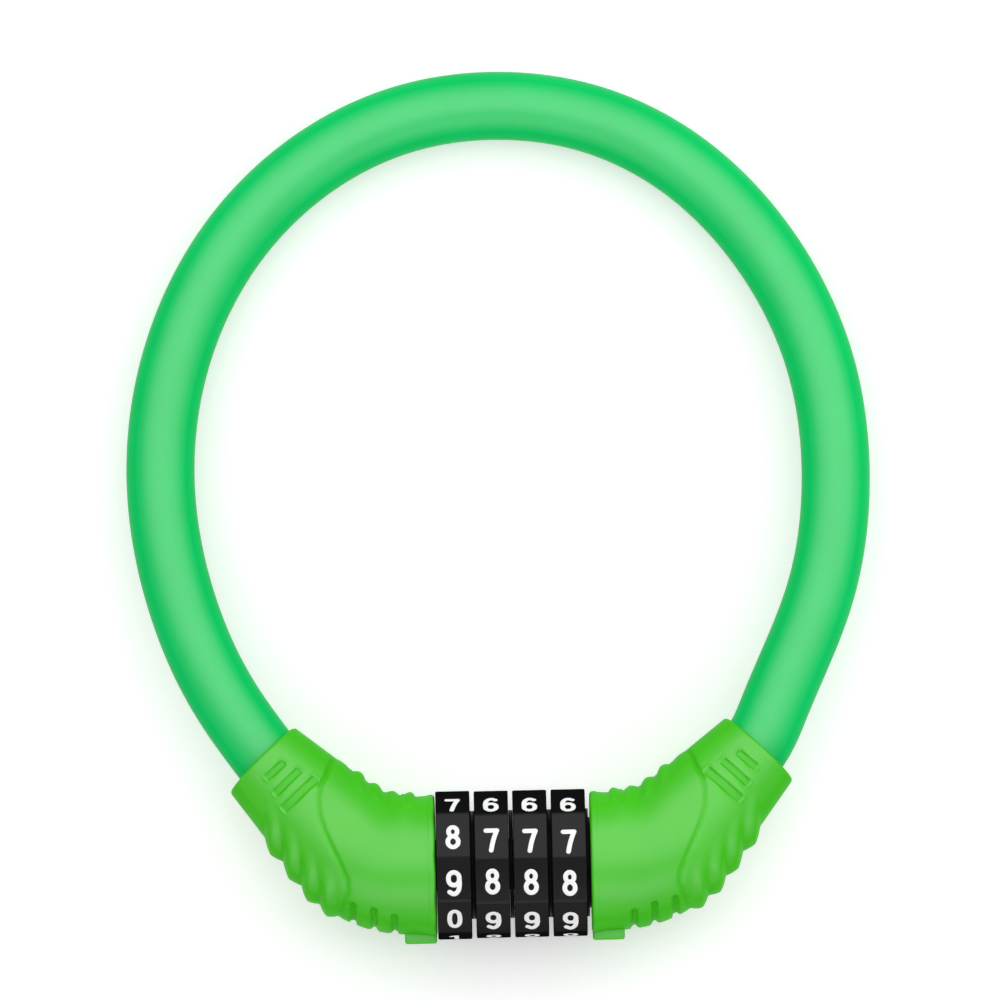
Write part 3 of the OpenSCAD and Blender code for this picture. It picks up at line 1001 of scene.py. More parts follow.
    def radius(self, s: np.ndarray | float) -> np.ndarray | float:
        """Gives the plain radius, before the grip is sculpted.

        Args:
            s: One distance along the centre line, or several.

        Returns:
            The radius at each.
        """
        early = self.dial_end_r + (self.bend_end_r - self.dial_end_r) * s / self.bend_end
        narrower = self.mouth_r - self.bend_end_r
        late = self.bend_end_r + narrower * (s - self.bend_end) / (self.length - self.bend_end)
        return np.where(np.asarray(s) < self.bend_end, early, late)

    def ring(self, start: float, end: float) -> None:
        """Extrudes the selected ring along the centre line.

        Args:
            start: Where the ring is.
            end: Where the next one goes.
        """
        at = self.centre(end) * MM
        Bench.extrude(at - self.centre(start) * MM)
        Bench.swing(self.turn(end) - self.turn(start), at)
        Bench.swell(float(self.radius(end) / self.radius(start)), at)

    def rough_skin(self) -> Piece:
        """Extrudes the plain skin of a cover, ring by ring, and refines it.

        Returns:
            The skin, open at both ends.
        """
        stops = np.linspace(self.edge, self.length - self.edge, round(self.length / self.ring_step) + 1)
        Bench.deselect()
        bpy.ops.mesh.primitive_circle_add(
            vertices=self.sides, radius=float(self.radius(stops[0])) * MM,
            location=self.centre(stops[0]) * MM, rotation=(0.0, math.pi / 2, 0.0),
        )
        skin = bpy.context.object
        Bench.settle(skin)
        Bench.edit(skin)
        for start, end in zip(stops[:-1], stops[1:]):
            self.ring(float(start), float(end))
        Bench.shut()
        Bench.apply(skin, "SUBSURF", levels=3, render_levels=3)
        return skin

    def locate(self, points: np.ndarray) -> tuple[np.ndarray, np.ndarray]:
        """Finds where points lie along the centre line and in which direction of it.

        Args:
            points: One row for each point.

        Returns:
            The distance along the line, and the turn of the line there in radians.
        """
        x, y = points[:, 0], points[:, 1]
        round_bend = np.arctan2(x - self.bend_start, self.bend_r - y)
        full = math.radians(self.angle)
        past = np.array(self.centre(self.bend_end))
        late = self.bend_end + (x - past[0]) * math.cos(full) + (y - past[1]) * math.sin(full)
        s = np.where(x < self.bend_start, x, self.bend_start + self.bend_r * round_bend)
        beyond = (late > self.bend_end) & (x > self.bend_start)
        s = np.where(beyond, late, s)
        turn = np.clip((s - self.bend_start) / self.bend_r, 0.0, full)
        return s, turn

    def relief(
        self, s: np.ndarray, x: np.ndarray, y: np.ndarray, side: np.ndarray,
    ) -> tuple[np.ndarray, np.ndarray]:
        """The height of the grip over the plain skin, and where its grooves run.

        Args:
            s: The distance along the centre line.
            x: The place along the dials' axis.
            y: The place across it.
            side: 1 on the inner side of the bend, -1 on the outer side.

        Returns:
            The height at each place, below 0 in a groove, and how far it lies in a groove, from 0 to 1.
        """
        wave = (x - self.step_start) / self.step_pitch
        part = (wave - np.floor(wave)) * self.step_pitch
        fall = (self.step_pitch - part) / (self.step_pitch - self.step_rise)
        share = np.where(part < self.step_rise, part / self.step_rise, fall)
        inside = (wave > 0.0) & (wave < self.steps)
        crisp = ease(*self.step_crisp_side, side)
        sharp = (share + np.sin(share * math.pi / 2)) / 2
        soft = (1.0 - np.cos(share * math.pi)) / 2
        share = crisp * sharp + (1.0 - crisp) * soft
        height = self.step_height * share * inside * ease(*self.step_side, side)
        groove = np.zeros_like(x)
        for at, top in self.short_slots:
            off = off_segment(x, y, (at, top - self.short_slot_cap), (at, self.short_slot_foot))
            cut = ease(*self.short_slot_wall, off - self.short_slot_half_width)
            cut *= ease(*self.short_slot_side, side)
            height -= self.short_slot_depth * cut
            groove = np.maximum(groove, cut)
        off = np.min([off_segment(x, y, a, b) for a, b in zip(self.crease[:-1], self.crease[1:])], axis=0)
        deep = sum((more * ease(start, end, y) for more, start, end in self.crease_deeper), 1.0)
        cut = np.exp(-((off / self.crease_half_width) ** 2))
        height -= self.crease_depth * deep * cut
        groove = np.maximum(groove, self.crease_groove * cut)
        for start, end, width in self.long_slots:
            off = off_bar(x, y, start, end, width, self.long_slot_corner)
            cut = ease(*self.long_slot_wall, off)
            height -= self.long_slot_depth * cut
            height += self.rim_height * np.exp(-(((off - self.rim_off) / self.rim_half_width) ** 2))
            groove = np.maximum(groove, self.long_slot_groove * cut)
        height += self.lip_height * ease(*self.lip, s)
        return height, groove

    def inner_lift(self, x: np.ndarray, side: np.ndarray) -> np.ndarray:
        """How far the web and the bumps of the inner side stand up, towards the middle of the bend.

        Args:
            x: The place along the dials' axis.
            side: 1 on the inner side of the bend, -1 on the outer side.

        Returns:
            The lift at each place.
        """
        off = (x - self.bend_start - self.web_past_bend) / self.web_width
        height = self.web_height * np.exp(-(off**2)) * ease(*self.web_side, side)
        for at, top in self.bumps:
            off = np.clip((x - at) / self.bump_half_width, -1.0, 1.0)
            height += top * np.cos(off * math.pi / 2) * ease(*self.bump_side, side)
        return height

    def sculpt(self, skin: Piece) -> None:
        """Puts the refined skin on its true radius and works the grip into it.

        Args:
            skin: The skin, which is changed.
        """
        points = Bench.points(skin)
        s, turn = self.locate(points)
        middle = np.array([tuple(self.centre(float(v))) for v in s])
        off = points - middle
        across = off[:, 1] * np.cos(turn) - off[:, 0] * np.sin(turn)
        around = np.arctan2(off[:, 2], across)
        base = self.radius(s)
        side = np.cos(around)
        x = middle[:, 0] - base * side * np.sin(turn)
        y = middle[:, 1] + base * side * np.cos(turn)
        height, groove = self.relief(s, x, y, side)
        # The groove mask, by which the finish paints shade into the grooves and thins their coat.
        kept = skin.data.attributes.new("groove", "FLOAT", "POINT")
        kept.data.foreach_set("value", groove.astype(np.float32))
        r = base + height
        lift = self.inner_lift(x, side)
        half = math.radians(self.angle) / 2
        Bench.move_points(skin, np.stack([
            middle[:, 0] - r * side * np.sin(turn) - lift * math.sin(half),
            middle[:, 1] + r * side * np.cos(turn) + lift * math.cos(half),
            r * np.sin(around),
        ], axis=1))

    def round_edge(self, at: float, way: int) -> None:
        """Extrudes the selected end ring round the edge of an end.

        Args:
            at: Where the ring is, along the centre line.
            way: 1 towards the mouth and -1 towards the dials.
        """
        heading = Vector((math.cos(self.turn(at)), math.sin(self.turn(at)), 0.0)) * way
        place = self.centre(at)
        for rise, share in rounding(float(self.radius(at)), self.edge, self.edge_steps):
            step = heading * self.edge * rise
            Bench.extrude(step * MM)
            place += step
            Bench.swell(share, place * MM)

    def fold_mouth(self, skin: Piece) -> None:
        """Rounds the skin's edge at the mouth and leads it back inside to the dial end.

        Args:
            skin: The sculpted skin.
        """
        s, _ = self.locate(Bench.points(skin))
        mouth = self.length - self.edge
        Bench.edit_vertices(skin, s > mouth - NEAR)
        self.round_edge(mouth, 1)
        at = self.centre(self.length)
        full, socket = math.radians(self.angle), math.radians(PLANE.socket_angle)
        tilt = math.radians(PLANE.socket_angle - self.angle)
        heading = Vector((math.cos(socket), math.sin(socket), 0.0))
        elbow = Vector((PLANE.elbow_x, 0.0, 0.0))
        reach = (at - elbow).dot(Vector((math.cos(full), math.sin(full), 0.0)))
        last = elbow + heading * (reach / math.cos(tilt))
        Bench.extrude((last - at) * MM)
        Bench.swell(self.bore_r / (float(self.radius(mouth)) - self.edge), last * MM)
        bore_end, room_start = self.room_reach
        for place, swing, share in (
            (elbow + heading * self.bore_reach, tilt, 1.0), (elbow + heading * bore_end, 0.0, 1.0),
            (elbow + heading * room_start, 0.0, self.anchor_room_r / self.bore_r),
            (elbow + heading * self.bend_reach, 0.0, 1.0),
            (elbow + heading * self.elbow_reach, -socket / 2, self.elbow_swell),
            (Vector((self.axis_room, 0.0, 0.0)), -socket / 2, 1.0 / self.elbow_swell),
        ):
            Bench.extrude((place - last) * MM)
            Bench.swing(swing, place * MM)
            Bench.swell(share, place * MM)
            last = place
        Bench.shut()

    def fold_dial_end(self, skin: Piece) -> None:
        """Rounds the skin's edge beside the dials and sinks the seat of the anchor into it.

        Args:
            skin: The sculpted skin.
        """
        points = Bench.points(skin)
        chosen = np.abs(points[:, 0] - self.edge) < NEAR
        Bench.edit_vertices(skin, chosen & (np.hypot(points[:, 1], points[:, 2]) > self.seat_room_r))
        self.round_edge(self.edge, -1)
        face = Vector((0.0, 0.0, 0.0))
        Bench.extrude(face)
        Bench.swell(self.seat_room_r / (float(self.radius(self.edge)) - self.edge), face)
        floor = Vector((self.seat_room_depth, 0.0, 0.0)) * MM
        Bench.extrude(floor)
        Bench.extrude(face)
        Bench.swell(self.anchor_room_r / self.seat_room_r, floor)
        Bench.shut()

    def hollow(self, skin: Piece) -> None:
        """Folds both ends of the skin inwards and joins them along the room inside.

        Args:
            skin: The sculpted skin, which becomes a closed wall.
        """
        self.fold_mouth(skin)
        self.fold_dial_end(skin)
        Bench.edit(skin, "DESELECT")
        bpy.ops.mesh.select_non_manifold(
            extend=False, use_wire=False, use_multi_face=False, use_non_contiguous=False, use_verts=False,
        )
        bpy.ops.mesh.bridge_edge_loops()
        Bench.shut()
        Bench.weld(skin)

    def index_bar(self) -> Piece:
        """Makes the raised bar beside the dials that the code is read against.

        Returns:
            The bar.
        """
        bottom = self.dial_end_r - self.bar_root
        middle = Vector((self.bar_gap + self.bar_len / 2, -(bottom + self.bar_top) / 2, 0.0))
        Bench.deselect()
        bpy.ops.mesh.primitive_cube_add(size=1.0, location=middle * MM)
        bar = bpy.context.object
        bar.scale = Vector((self.bar_len, self.bar_top - bottom, self.bar_width)) * MM
        Bench.settle(bar)
        Bench.edit(bar)
        bpy.ops.mesh.bevel(offset=self.bar_edge * MM, segments=4, affect="EDGES")
        Bench.shut()
        return bar

    def build(self) -> None:
        """Makes one cover, copies it to the other end and hands both to their bodies."""
        skin = self.rough_skin()
        self.sculpt(skin)
        self.hollow(skin)
        left = Bench.join("left_cover_skin", [skin, self.index_bar()])
        Bench.smooth(left, self.sharp_from)
        right = Bench.copy(left, "right_cover_skin")
        for piece, place, body, node in (
            (left, PLANE.at_left(), Body.LOCK, "left_cover"),
            (right, PLANE.at_right(), Body.PULL_OFF, "right_cover"),
        ):
            Bench.settle(piece, place)
            dress(piece, COVER_RUBBER)
            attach(piece, body.value)
            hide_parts(node)
            log.info("%s: %d faces", piece.name, len(piece.data.polygons))


# ---------------------------------------------------------------- cable


@dataclass
class Cable:
    """The sleeved wire rope that closes the ring. Lengths in millimetres."""

    sleeve_d: float = 15.0
    rope_d: float = 6.4
    sleeve_start: float = 21.1
    rope_start: float = 8.2
    straight_to: float = 32.196
    spacing: float = 2.0
    sleeve_fineness: int = 14
    rope_fineness: int = 8
    strands: int = 6
    strand_turn: float = 46.0
    strand_depth: float = 0.16
    bends_from: float = 54.5
    sleeve_sharp_from: float = 60.0
    rope_sharp_from: float = 50.0
    route: tuple[Point, ...] = (
        (-61.5, 37.1), (-71.5, 61.3), (-75.0, 87.4), (-71.0, 113.1), (-59.0, 137.2), (-39.5, 155.9),
        (-20.0, 164.9), (1.0, 167.4), (21.5, 163.9), (40.5, 153.8), (59.0, 133.7), (70.0, 109.6),
        (73.0, 83.9), (69.0, 58.3), (58.5, 33.6),
    )

    def line(self, start: float) -> np.ndarray:
        """Runs the cable's centre line between the two sockets.

        Args:
            start: Its first and last distance from the elbows.

        Returns:
            Points in the lock's plane.
        """
        reaches = (start, (start + self.straight_to) / 2, self.straight_to)
        left = [PLANE.socket(-1, reach) for reach in reaches]
        right = [PLANE.socket(1, reach) for reach in reversed(reaches)]
        return smooth_route(np.array([*left, *self.route, *right]), self.spacing)

    @staticmethod
    def laid(line: np.ndarray) -> list[Vector]:
        """Lays a line of the lock's plane down where the lock lies, and turns millimetres into metres."""
        place = PLANE.lie()
        return [place @ Vector((x * MM, y * MM, 0.0)) for x, y in line]

    @staticmethod
    def rod(name: str, path: Sequence[Vector], radius: float, fineness: int) -> Piece:
        """Bends a round rod along a path.

        Args:
            name: The piece's name.
            path: The points of its centre line, in metres.
            radius: Its radius in millimetres.
            fineness: How many points its section has between two quarters.

        Returns:
            The rod, a mesh with capped ends.
        """
        data = Bench.round_pen(name, radius, fineness)
        spline = data.splines.new("POLY")
        spline.points.add(len(path) - 1)
        for point, at in zip(spline.points, path):
            point.co = (*at, 1.0)
        made = Bench.drawn(name, data)
        Bench.weld(made)
        made.name = made.data.name = name
        return made

    def lay_strands(self, rope: Piece, path: Sequence[Vector]) -> None:
        """Works the twisted strands into a plain rod.

        Args:
            rope: The rod, which is changed.
            path: Its centre line, in metres.
        """
        points = Bench.points(rope)
        centre = np.array([tuple(p) for p in path]) / MM
        run = np.concatenate([[0.0], np.cumsum(np.linalg.norm(np.diff(centre, axis=0), axis=1))])
        near = np.argmin(((points[:, None, :] - centre[None, :, :]) ** 2).sum(axis=2), axis=1)
        ahead = centre[np.minimum(near + 1, len(centre) - 1)] - centre[np.maximum(near - 1, 0)]
        ahead /= np.linalg.norm(ahead, axis=1)[:, None]
        off = points - centre[near]
        up = np.array(PLANE.lie().to_3x3() @ Vector((0.0, 0.0, 1.0)))
        aside = np.cross(ahead, up)
        angle = np.arctan2(off @ up, (off * aside).sum(axis=1))
        strand = np.abs(np.cos(self.strands / 2 * (angle + 2.0 * math.pi * run[near] / self.strand_turn)))
        share = 1.0 - self.strand_depth * (1.0 - strand)
        Bench.move_points(rope, centre[near] + off * share[:, None])

    def build(self) -> None:
        """Makes the sleeve and the rope, and cuts the rope into a middle and two ends that ride on the
        bodies.
        """
        path = self.laid(self.line(self.sleeve_start))
        sleeve = self.rod("cable_sleeve_skin", path, self.sleeve_d / 2, self.sleeve_fineness)
        Bench.smooth(sleeve, self.sleeve_sharp_from)
        dress(sleeve, SLEEVE_VINYL)
        start, end = Vector((-self.bends_from * MM, 0.0, 0.0)), Vector((self.bends_from * MM, 0.0, 0.0))
        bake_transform(sleeve)
        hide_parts("cable_sleeve")
        core = self.laid(self.line(self.rope_start))
        first = next(i for i, p in enumerate(core) if p.x < start.x)
        last = len(core) - 1 - next(i for i, p in enumerate(reversed(core)) if p.x > end.x)
        ropes = []
        for name, part in (
            ("rope_left_end", core[: first + 1]), ("rope_middle", core[first : last + 1]),
            ("rope_right_end", core[last:]),
        ):
            rope = self.rod(name, part, self.rope_d / 2, self.rope_fineness)
            self.lay_strands(rope, part)
            Bench.smooth(rope, self.rope_sharp_from)
            dress(rope, ROPE_STEEL)
            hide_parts("wire_rope")
            ropes.append(rope)
            log.info("%s: %d points", name, len(rope.data.vertices))
        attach(ropes[0], Body.LOCK.value)
        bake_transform(ropes[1])
        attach(ropes[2], Body.PULL_OFF.value)


# ---------------------------------------------------------------- dials


# The points of each digit's strokes, in millimetres round the digit's middle. A stroke that ends where it
# starts is a loop. 6 is a 9 turned half round.
DIGIT_STROKES: dict[int, tuple[tuple[Point, ...], ...]] = {
    0: (
        ((0.0, 2.27), (0.82, 1.8), (1.15, 0.7), (1.15, -0.7), (0.82, -1.8), (0.0, -2.27), (-0.82, -1.8),
         (-1.15, -0.7), (-1.15, 0.7), (-0.82, 1.8), (0.0, 2.27)),
    ),
    1: (((-0.95, 1.35), (0.3, 2.27)), ((0.3, 2.27), (0.3, -2.27))),
    2: (
        ((-1.25, 1.2), (-0.8, 2.0), (0.1, 2.27), (1.05, 1.85), (1.25, 0.9), (0.6, -0.3), (-1.25, -2.2)),
        ((-1.25, -2.2), (1.35, -2.2)),
    ),
    3: (
        ((-1.15, 1.6), (-0.5, 2.2), (0.35, 2.2), (1.05, 1.6), (0.95, 0.6), (-0.1, 0.15)),
        ((-0.1, 0.15), (1.05, -0.2), (1.25, -1.3), (0.5, -2.2), (-0.5, -2.2), (-1.25, -1.5)),
    ),
    4: (((0.55, -2.27), (0.55, 2.27)), ((0.55, 2.27), (-1.35, -0.95)), ((-1.35, -0.95), (1.4, -0.95))),
    5: (
        ((1.15, 2.2), (-0.95, 2.2)), ((-0.95, 2.2), (-1.1, 0.25)),
        ((-1.1, 0.25), (-0.1, 0.65), (0.95, 0.3), (1.3, -0.75), (0.8, -1.9), (-0.2, -2.27), (-1.25, -1.6)),
    ),
    7: (((-1.3, 2.2), (1.25, 2.2)), ((1.25, 2.2), (0.85, 1.3), (0.25, -0.5), (-0.15, -2.27))),
    8: (
        ((0.0, 2.27), (0.7, 1.98), (0.98, 1.27), (0.68, 0.52), (0.0, 0.2), (-0.68, 0.52), (-0.98, 1.27),
         (-0.7, 1.98), (0.0, 2.27)),
        ((0.0, 0.2), (0.85, -0.2), (1.2, -1.03), (0.85, -1.9), (0.0, -2.27), (-0.85, -1.9), (-1.2, -1.03),
         (-0.85, -0.2), (0.0, 0.2)),
    ),
    9: (
        ((0.0, 2.27), (0.95, 1.85), (1.25, 0.9), (0.9, -0.05), (0.0, -0.4), (-0.9, -0.05), (-1.25, 0.9),
         (-0.95, 1.85), (0.0, 2.27)),
        ((1.25, 0.9), (1.25, -0.6), (0.85, -1.75), (0.0, -2.27), (-1.05, -1.85)),
    ),
}


@dataclass
class DialStack:
    """The four number dials and their painted digits. Lengths in millimetres."""

    corner_r: float = 16.5
    width: float = 7.45
    pitch: float = 8.4
    bore_r: float = 9.6
    bore_sides: int = 60
    faces: int = 10
    corner_edge: float = 0.45
    edge: float = 0.3
    edge_steps: int = 3
    sharp_from: float = 25.0
    first_turn: float = -2.5
    stroke: float = 1.02
    pen_fineness: int = 2
    curve_fineness: int = 5
    # The ends of strokes are a little larger than the pen, so that no two surfaces coincide.
    stroke_end: float = 1.004
    narrow: float = 0.94
    tall: float = 1.05
    proud: float = 0.07
    # The share of the pen's radius from which the paint lies flat.
    flat_from: float = 0.6
    digit_sharp_from: float = 60.0
    shown: tuple[int, ...] = (8, 7, 7, 7)
    bodies: tuple[Body, ...] = (Body.DIAL_1, Body.DIAL_2, Body.DIAL_3, Body.DIAL_4)
    # How far below the middle of its flat each digit sits, and all the digits of each dial.
    usual_drop: float = 0.7
    drops: dict[int, float] = field(default_factory=lambda: {0: 0.05, 6: 1.0, 7: 1.1, 8: 0.35, 9: 0.7})
    dial_drops: tuple[float, ...] = (0.4, -0.1, 0.2, 0.6)

    def shell(self) -> Piece:
        """Makes one dial: a ten-sided ring with softened edges.

        Returns:
            The dial at the origin, with its axis along X.
        """
        outer = Bench.tube(
            self.faces, self.corner_r, self.width, place=Matrix.Rotation(math.pi / self.faces, 4, "X"),
        )
        Bench.edit(outer, "DESELECT")
        Bench.shut()
        # Only the edges that run along the axis, between two flats.
        for edge in outer.data.edges:
            ends = [outer.data.vertices[i].co.x for i in edge.vertices]
            edge.select = abs(ends[0] - ends[1]) > self.width / 2 * MM
        bpy.ops.object.mode_set(mode="EDIT")
        bpy.ops.mesh.bevel(offset=self.corner_edge * MM, segments=4, affect="EDGES")
        Bench.shut()
        for way in (-1.0, 1.0):
            face = way * self.width / 2
            Bench.edit_vertices(outer, np.abs(Bench.points(outer)[:, 0] - face) < NEAR)
            bpy.ops.transform.translate(value=(-way * self.edge * MM, 0.0, 0.0))
            for rise, share in rounding(self.corner_r, self.edge, self.edge_steps):
                Bench.extrude((way * self.edge * rise * MM, 0.0, 0.0))
                Bench.swell(share, Vector((face * MM, 0.0, 0.0)))
            Bench.shut()
        ring = Bench.join("dial_shell", [outer, Bench.tube(self.bore_sides, self.bore_r, self.width)])
        for way in (-1.0, 1.0):
            Bench.edit_vertices(ring, np.abs(Bench.points(ring)[:, 0] - way * self.width / 2) < NEAR)
            bpy.ops.mesh.bridge_edge_loops()
            Bench.shut()
        Bench.weld(ring)
        Bench.smooth(ring, self.sharp_from)
        return ring

    def pen_at(self, point: Point) -> Triple:
        """Where the pen stands for a point of a stroke, in metres."""
        return (point[0] * self.narrow * MM, point[1] * self.tall * MM, 0.0)

    def draw_stroke(self, points: Sequence[Point]) -> Piece:
        """Draws one stroke of a digit with the round pen.

        Args:
            points: The stroke's points.

        Returns:
            The stroke, a mesh.
        """
        loop = points[0] == points[-1]
        data = Bench.round_pen("stroke", self.stroke / 2, self.pen_fineness)
        data.resolution_u = self.curve_fineness
        spline = data.splines.new("BEZIER")
        spline.use_cyclic_u = loop
        knots = points[:-1] if loop else points
        spline.bezier_points.add(len(knots) - 1)
        for knot, point in zip(spline.bezier_points, knots):
            knot.co = self.pen_at(point)
            knot.handle_left_type = knot.handle_right_type = "AUTO"
        return Bench.drawn("stroke", data)

    def digit(self, value: int) -> Piece:
        """Draws a digit with a round pen and flattens it to a coat of paint.

        Args:
            value: The digit.

        Returns:
            The digit, lying flat round the origin with its top towards +Y.
        """
        strokes = DIGIT_STROKES[9 if value == 6 else value]
        parts = [self.draw_stroke(points) for points in strokes]
        ends = {end for points in strokes if points[0] != points[-1] for end in (points[0], points[-1])}
        for end in sorted(ends):
            Bench.deselect()
            bpy.ops.mesh.primitive_uv_sphere_add(
                segments=16, ring_count=8, radius=self.stroke / 2 * self.stroke_end * MM,
                location=self.pen_at(end),
            )
            parts.append(bpy.context.object)
        made = parts[0]
        for part in parts:
            Bench.weld(part)
        for part in parts[1:]:
            Bench.apply(made, "BOOLEAN", object=part, operation="UNION", solver="MANIFOLD")
            bpy.data.objects.remove(part)
        made.name = made.data.name = f"digit_{value}"
        points = Bench.points(made)
        points[:, 2] = self.proud * np.clip(points[:, 2] / (self.flat_from * self.stroke / 2), -1.0, 1.0)
        Bench.move_points(made, points)
        Bench.settle(made, Matrix.Rotation(math.pi, 4, "Z") if value == 6 else None)
        return made

    def middle(self, number: int) -> float:
        """The middle of a dial along the axis."""
        return (number - (len(self.bodies) + 1) / 2) * self.pitch

    def seat(self, number: int) -> Matrix:
        """Places a dial on the axis."""
        return PLANE.lie() @ Matrix.Translation((self.middle(number) * MM, 0.0, 0.0))

    def numbered(self, number: int, masters: dict[int, Piece]) -> Piece:
        """Sets the ten digits round one dial.

        Args:
            number: The dial, from 1.
            masters: The digits to copy.

        Returns:
            Its digits as one piece, in the row's frame.
        """
        flat_r = self.corner_r * math.cos(math.pi / self.faces)
        step = 2.0 * math.pi / self.faces
        parts = []
        for value, master in masters.items():
            part = Bench.copy(master, f"dial_{number}_digit_{value}")
            angle = step / 2 - step * (value - self.shown[number - 1]) - self.turn(number)
            drop = self.drops.get(value, self.usual_drop) + self.dial_drops[number - 1]
            Bench.settle(
                part,
                self.seat(number) @ Matrix.Rotation(-angle, 4, "X")
                @ Matrix.Translation((0.0, -drop * MM, flat_r * MM)),
            )
            parts.append(part)
        made = Bench.join(f"dial_{number}_digits", parts)
        Bench.smooth(made, self.digit_sharp_from)
        return made

    def turn(self, number: int) -> float:
        """How far a dial is turned at rest, in radians."""
        return math.radians(self.first_turn) if number == 1 else 0.0

    def build(self) -> None:
        """Makes the dials and their digits."""
        master = self.shell()
        masters = {value: self.digit(value) for value in range(self.faces)}
        for number, body in enumerate(self.bodies, start=1):
            shell = Bench.copy(master, f"dial_{number}_shell")
            Bench.settle(shell, self.seat(number) @ Matrix.Rotation(self.turn(number), 4, "X"))
            dress(shell, DIAL_PLASTIC)
            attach(shell, body.value)
            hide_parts(f"dial_{number}")
            digits = self.numbered(number, masters)
            dress(digits, DIGIT_PAINT)
            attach(digits, body.value)
            log.info("%s: %d faces", shell.name, len(shell.data.polygons))
            log.info("%s: %d faces", digits.name, len(digits.data.polygons))
        for spare in (master, *masters.values()):
            bpy.data.objects.remove(spare)


# ---------------------------------------------------------------- washers


@dataclass
class Washers:
    """The dark washers low in the gaps of the dials, and the stepped flange. Lengths in millimetres."""

    outer_r: float = 11.8
    bore_r: float = 9.6
    step_r: float = 9.9
    edge: float = 0.1
    sharp_from: float = 40.0
    clearance: float = 0.02
    flange_face: float = 16.5
    flange_step: float = 16.9
    flange_end: float = 17.2
    flange_sunk: float = 0.3
    sides: int = 96

    def ring(self, name: str, start: float, end: float, outer_r: float, bore_r: float) -> Piece:
        """Turns a flat ring with softened rims.

        Args:
            name: The piece's name.
            start: Its left face, along the dials' axis.
            end: Its right face.
            outer_r: Its outer radius.
            bore_r: The radius of its bore.

        Returns:
            The ring in the row's frame.
        """
        length, middle = end - start, (start + end) / 2
        made = Bench.tube(self.sides, outer_r, length, middle, fill="NGON")
        Bench.edit(made)
        bpy.ops.mesh.bevel(offset=self.edge * MM, segments=3, affect="EDGES")
        Bench.shut()
        drill = Bench.tube(self.sides, bore_r, 2.0 * length, middle, fill="NGON")
        Bench.apply(made, "BOOLEAN", object=drill, operation="DIFFERENCE", solver="MANIFOLD")
        bpy.data.objects.remove(drill)
        Bench.smooth(made, self.sharp_from)
        Bench.settle(made, PLANE.lie())
        made.name = made.data.name = name
        return made

    def build(self) -> None:
        """Makes a washer for each gap, and the two steps of the flange."""
        dials = DialStack()
        reach = dials.width / 2 + self.clearance
        for number in range(1, len(dials.bodies)):
            start, end = dials.middle(number) + reach, dials.middle(number + 1) - reach
            washer = self.ring(f"washer_{number}", start, end, self.outer_r, self.bore_r)
            dress(washer, BARREL_PLASTIC)
            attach(washer, Body.LOCK.value)
            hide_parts(f"spacer_{number}")
            log.info("%s: %d faces", washer.name, len(washer.data.polygons))
        start = dials.middle(len(dials.bodies)) + reach
        grown = self.clearance / 2
        for name, left, right, outer_r in (
            ("flange_rim", start, self.flange_step + grown, self.outer_r + grown),
            ("flange_step", self.flange_face, self.flange_end + grown, self.step_r + grown),
        ):
            piece = self.ring(name, left, right, outer_r, self.bore_r - self.flange_sunk)
            dress(piece, BARREL_PLASTIC)
            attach(piece, Body.LOCK.value)
            log.info("%s: %d faces", piece.name, len(piece.data.polygons))


# ---------------------------------------------------------------- inner works


@dataclass
class InnerWorks:
    """The solids that keep their own shape, and get their finish."""

    finishes: tuple[tuple[Finish, tuple[str, ...]], ...] = (
        (BARREL_PLASTIC, ("barrel", "spacer_1", "spacer_2", "spacer_3")),
        (CAST_ZINC, (
            "code_ring_1", "code_ring_2", "code_ring_3", "code_ring_4", "left_anchor", "right_anchor",
        )),
        (TURNED_STEEL, ("locking_pin", "left_ferrule", "right_ferrule")),
        (SPRING_STEEL, (
            "left_ferrule_pins", "right_ferrule_pins", "barrel_cross_pin", "shank_cross_pin", "click_spring",
        )),
    )

    def build(self) -> None:
        """Dresses each solid."""
        for finish, names in self.finishes:
            for name in names:
                dress(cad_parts[name], finish)
                log.info("%s: %s", name, finish.name)


# ---------------------------------------------------------------- studio


@dataclass(frozen=True)
class Panel:
    """A soft panel lamp. Lengths in metres, power in watts."""

    name: str
    size: Point
    place: Triple
    aim: Triple
    power: float

    def hang(self) -> None:
        """Hangs the lamp and turns it to what it faces."""
        data = bpy.data.lights.new(self.name, "AREA")
        data.shape = "RECTANGLE"
        data.size, data.size_y = self.size
        data.energy = self.power
        lamp = Bench.add(self.name, data)
        lamp.location = self.place
        lamp.rotation_euler = (Vector(self.aim) - Vector(self.place)).to_track_quat("-Z", "Y").to_euler()


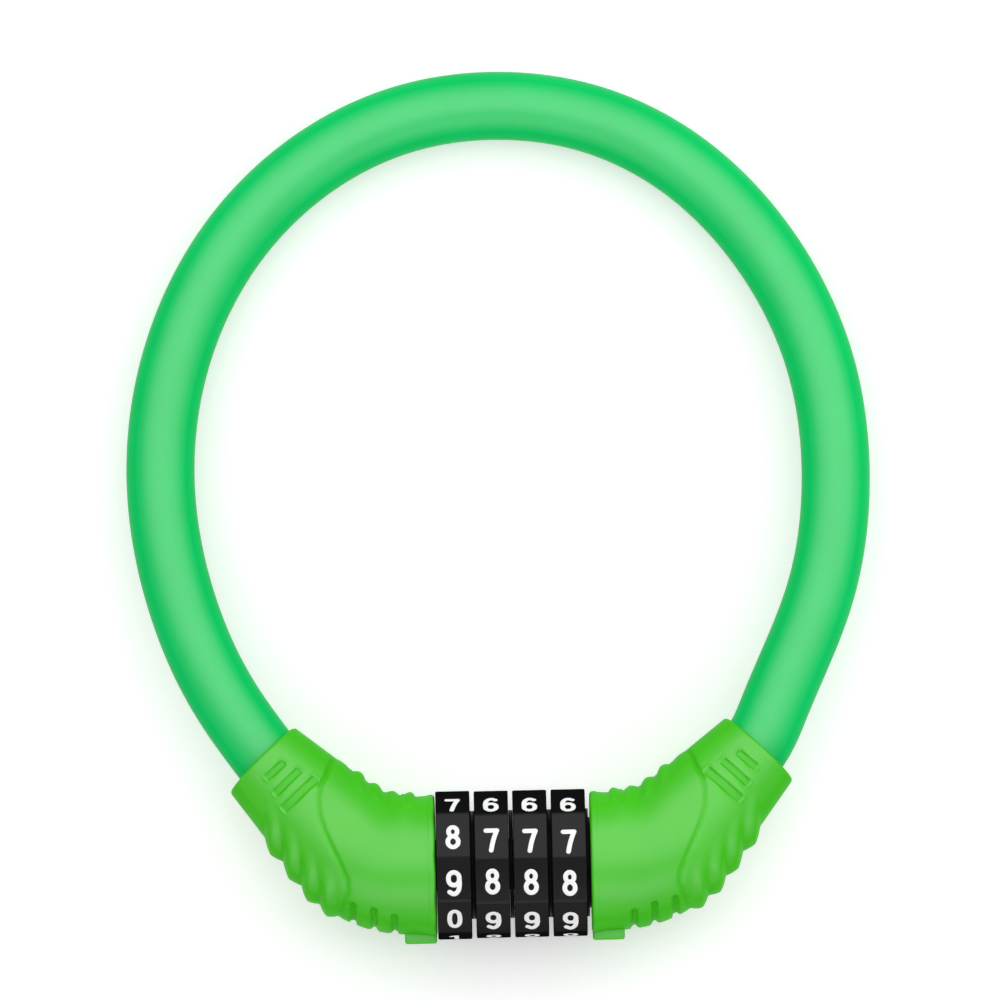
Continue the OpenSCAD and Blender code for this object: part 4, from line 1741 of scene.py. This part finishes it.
@dataclass
class Studio:
    """The floor, the lamps and the camera. Lengths in metres, angles in degrees."""

    view_width: float = 0.2192
    look_at: Triple = (-0.0007, 0.0731, 0.012)
    distance: float = 3.0
    lean: float = 3.64
    roll: float = 1.3
    sensor: float = 36.0
    clip: Point = (0.05, 20.0)
    sky: float = 0.20
    floor_size: float = 8.0
    floor_grey: float = 0.82
    floor_lift: float = 0.33
    panels: tuple[Panel, ...] = (
        Panel("overhead_panel", (2.6, 1.5), (0.05, 0.62, 0.62), aim=(0.05, 0.5, 0.0), power=15.5),
        Panel("side_panel", (0.35, 0.25), (0.33, 0.10, 0.15), aim=(0.07, 0.08, 0.0), power=0.14),
        Panel("front_panel", (1.8, 0.7), (0.0, -0.75, 0.55), aim=(0.0, 0.0, 0.0), power=4.5),
    )

    def floor(self) -> None:
        """Lays a plain pale floor that shows white and keeps the shadow."""
        Bench.deselect()
        bpy.ops.mesh.primitive_plane_add(size=self.floor_size)
        floor = bpy.context.object
        floor.name = "floor"
        made = bpy.data.materials.new("pale_floor")
        made.use_nodes = True
        board = NodeBoard(made.node_tree)
        grey = self.floor_grey
        paint = board.node("ShaderNodeBsdfDiffuse", {"Color": (grey, grey, grey, 1.0)}).outputs["BSDF"]
        lift = board.node("ShaderNodeEmission", {"Color": WHITE, "Strength": self.floor_lift})
        both = board.node("ShaderNodeAddShader", {0: paint, 1: lift.outputs["Emission"]})
        path = board.node("ShaderNodeLightPath").outputs
        mirrored = board.math("MAXIMUM", path["Is Glossy Ray"], path["Is Transmission Ray"])
        seen = board.math("MAXIMUM", path["Is Camera Ray"], mirrored)
        mix = board.node("ShaderNodeMixShader", {"Fac": seen, 1: paint, 2: both.outputs["Shader"]})
        board.node("ShaderNodeOutputMaterial", {"Surface": mix.outputs["Shader"]})
        floor.data.materials.append(made)

    def world(self) -> None:
        """Fills the room with even light."""
        world = bpy.data.worlds.new("room")
        world.use_nodes = True
        board = NodeBoard(world.node_tree)
        back = board.node("ShaderNodeBackground", {"Color": WHITE, "Strength": self.sky})
        board.node("ShaderNodeOutputWorld", {"Surface": back.outputs["Background"]})
        bpy.context.scene.world = world

    def camera(self) -> None:
        """Looks down on the lock."""
        data = bpy.data.cameras.new("camera")
        data.sensor_width = self.sensor
        data.lens = self.sensor * self.distance / self.view_width
        data.clip_start, data.clip_end = self.clip
        camera = Bench.add("camera", data)
        lean = Matrix.Rotation(math.radians(self.lean), 4, "X")
        roll = Matrix.Rotation(math.radians(-self.roll), 4, "Z")
        camera.matrix_world = (
            Matrix.Translation(self.look_at) @ lean @ Matrix.Translation((0.0, 0.0, self.distance)) @ roll
        )
        bpy.context.scene.camera = camera

    def build(self) -> None:
        """Sets up the room, before the pieces that the camera frames."""
        self.camera()
        self.world()
        self.floor()
        for panel in self.panels:
            panel.hang()
        bpy.context.scene.view_settings.view_transform = "Standard"


def main() -> None:
    """Builds the room, then each sub-assembly in turn."""
    logging.basicConfig(level=logging.INFO, format="%(name)s: %(message)s")
    for part in (Studio(), Cable(), EndCover(), DialStack(), Washers(), InnerWorks()):
        part.build()


if __name__ == "__main__":
    main()
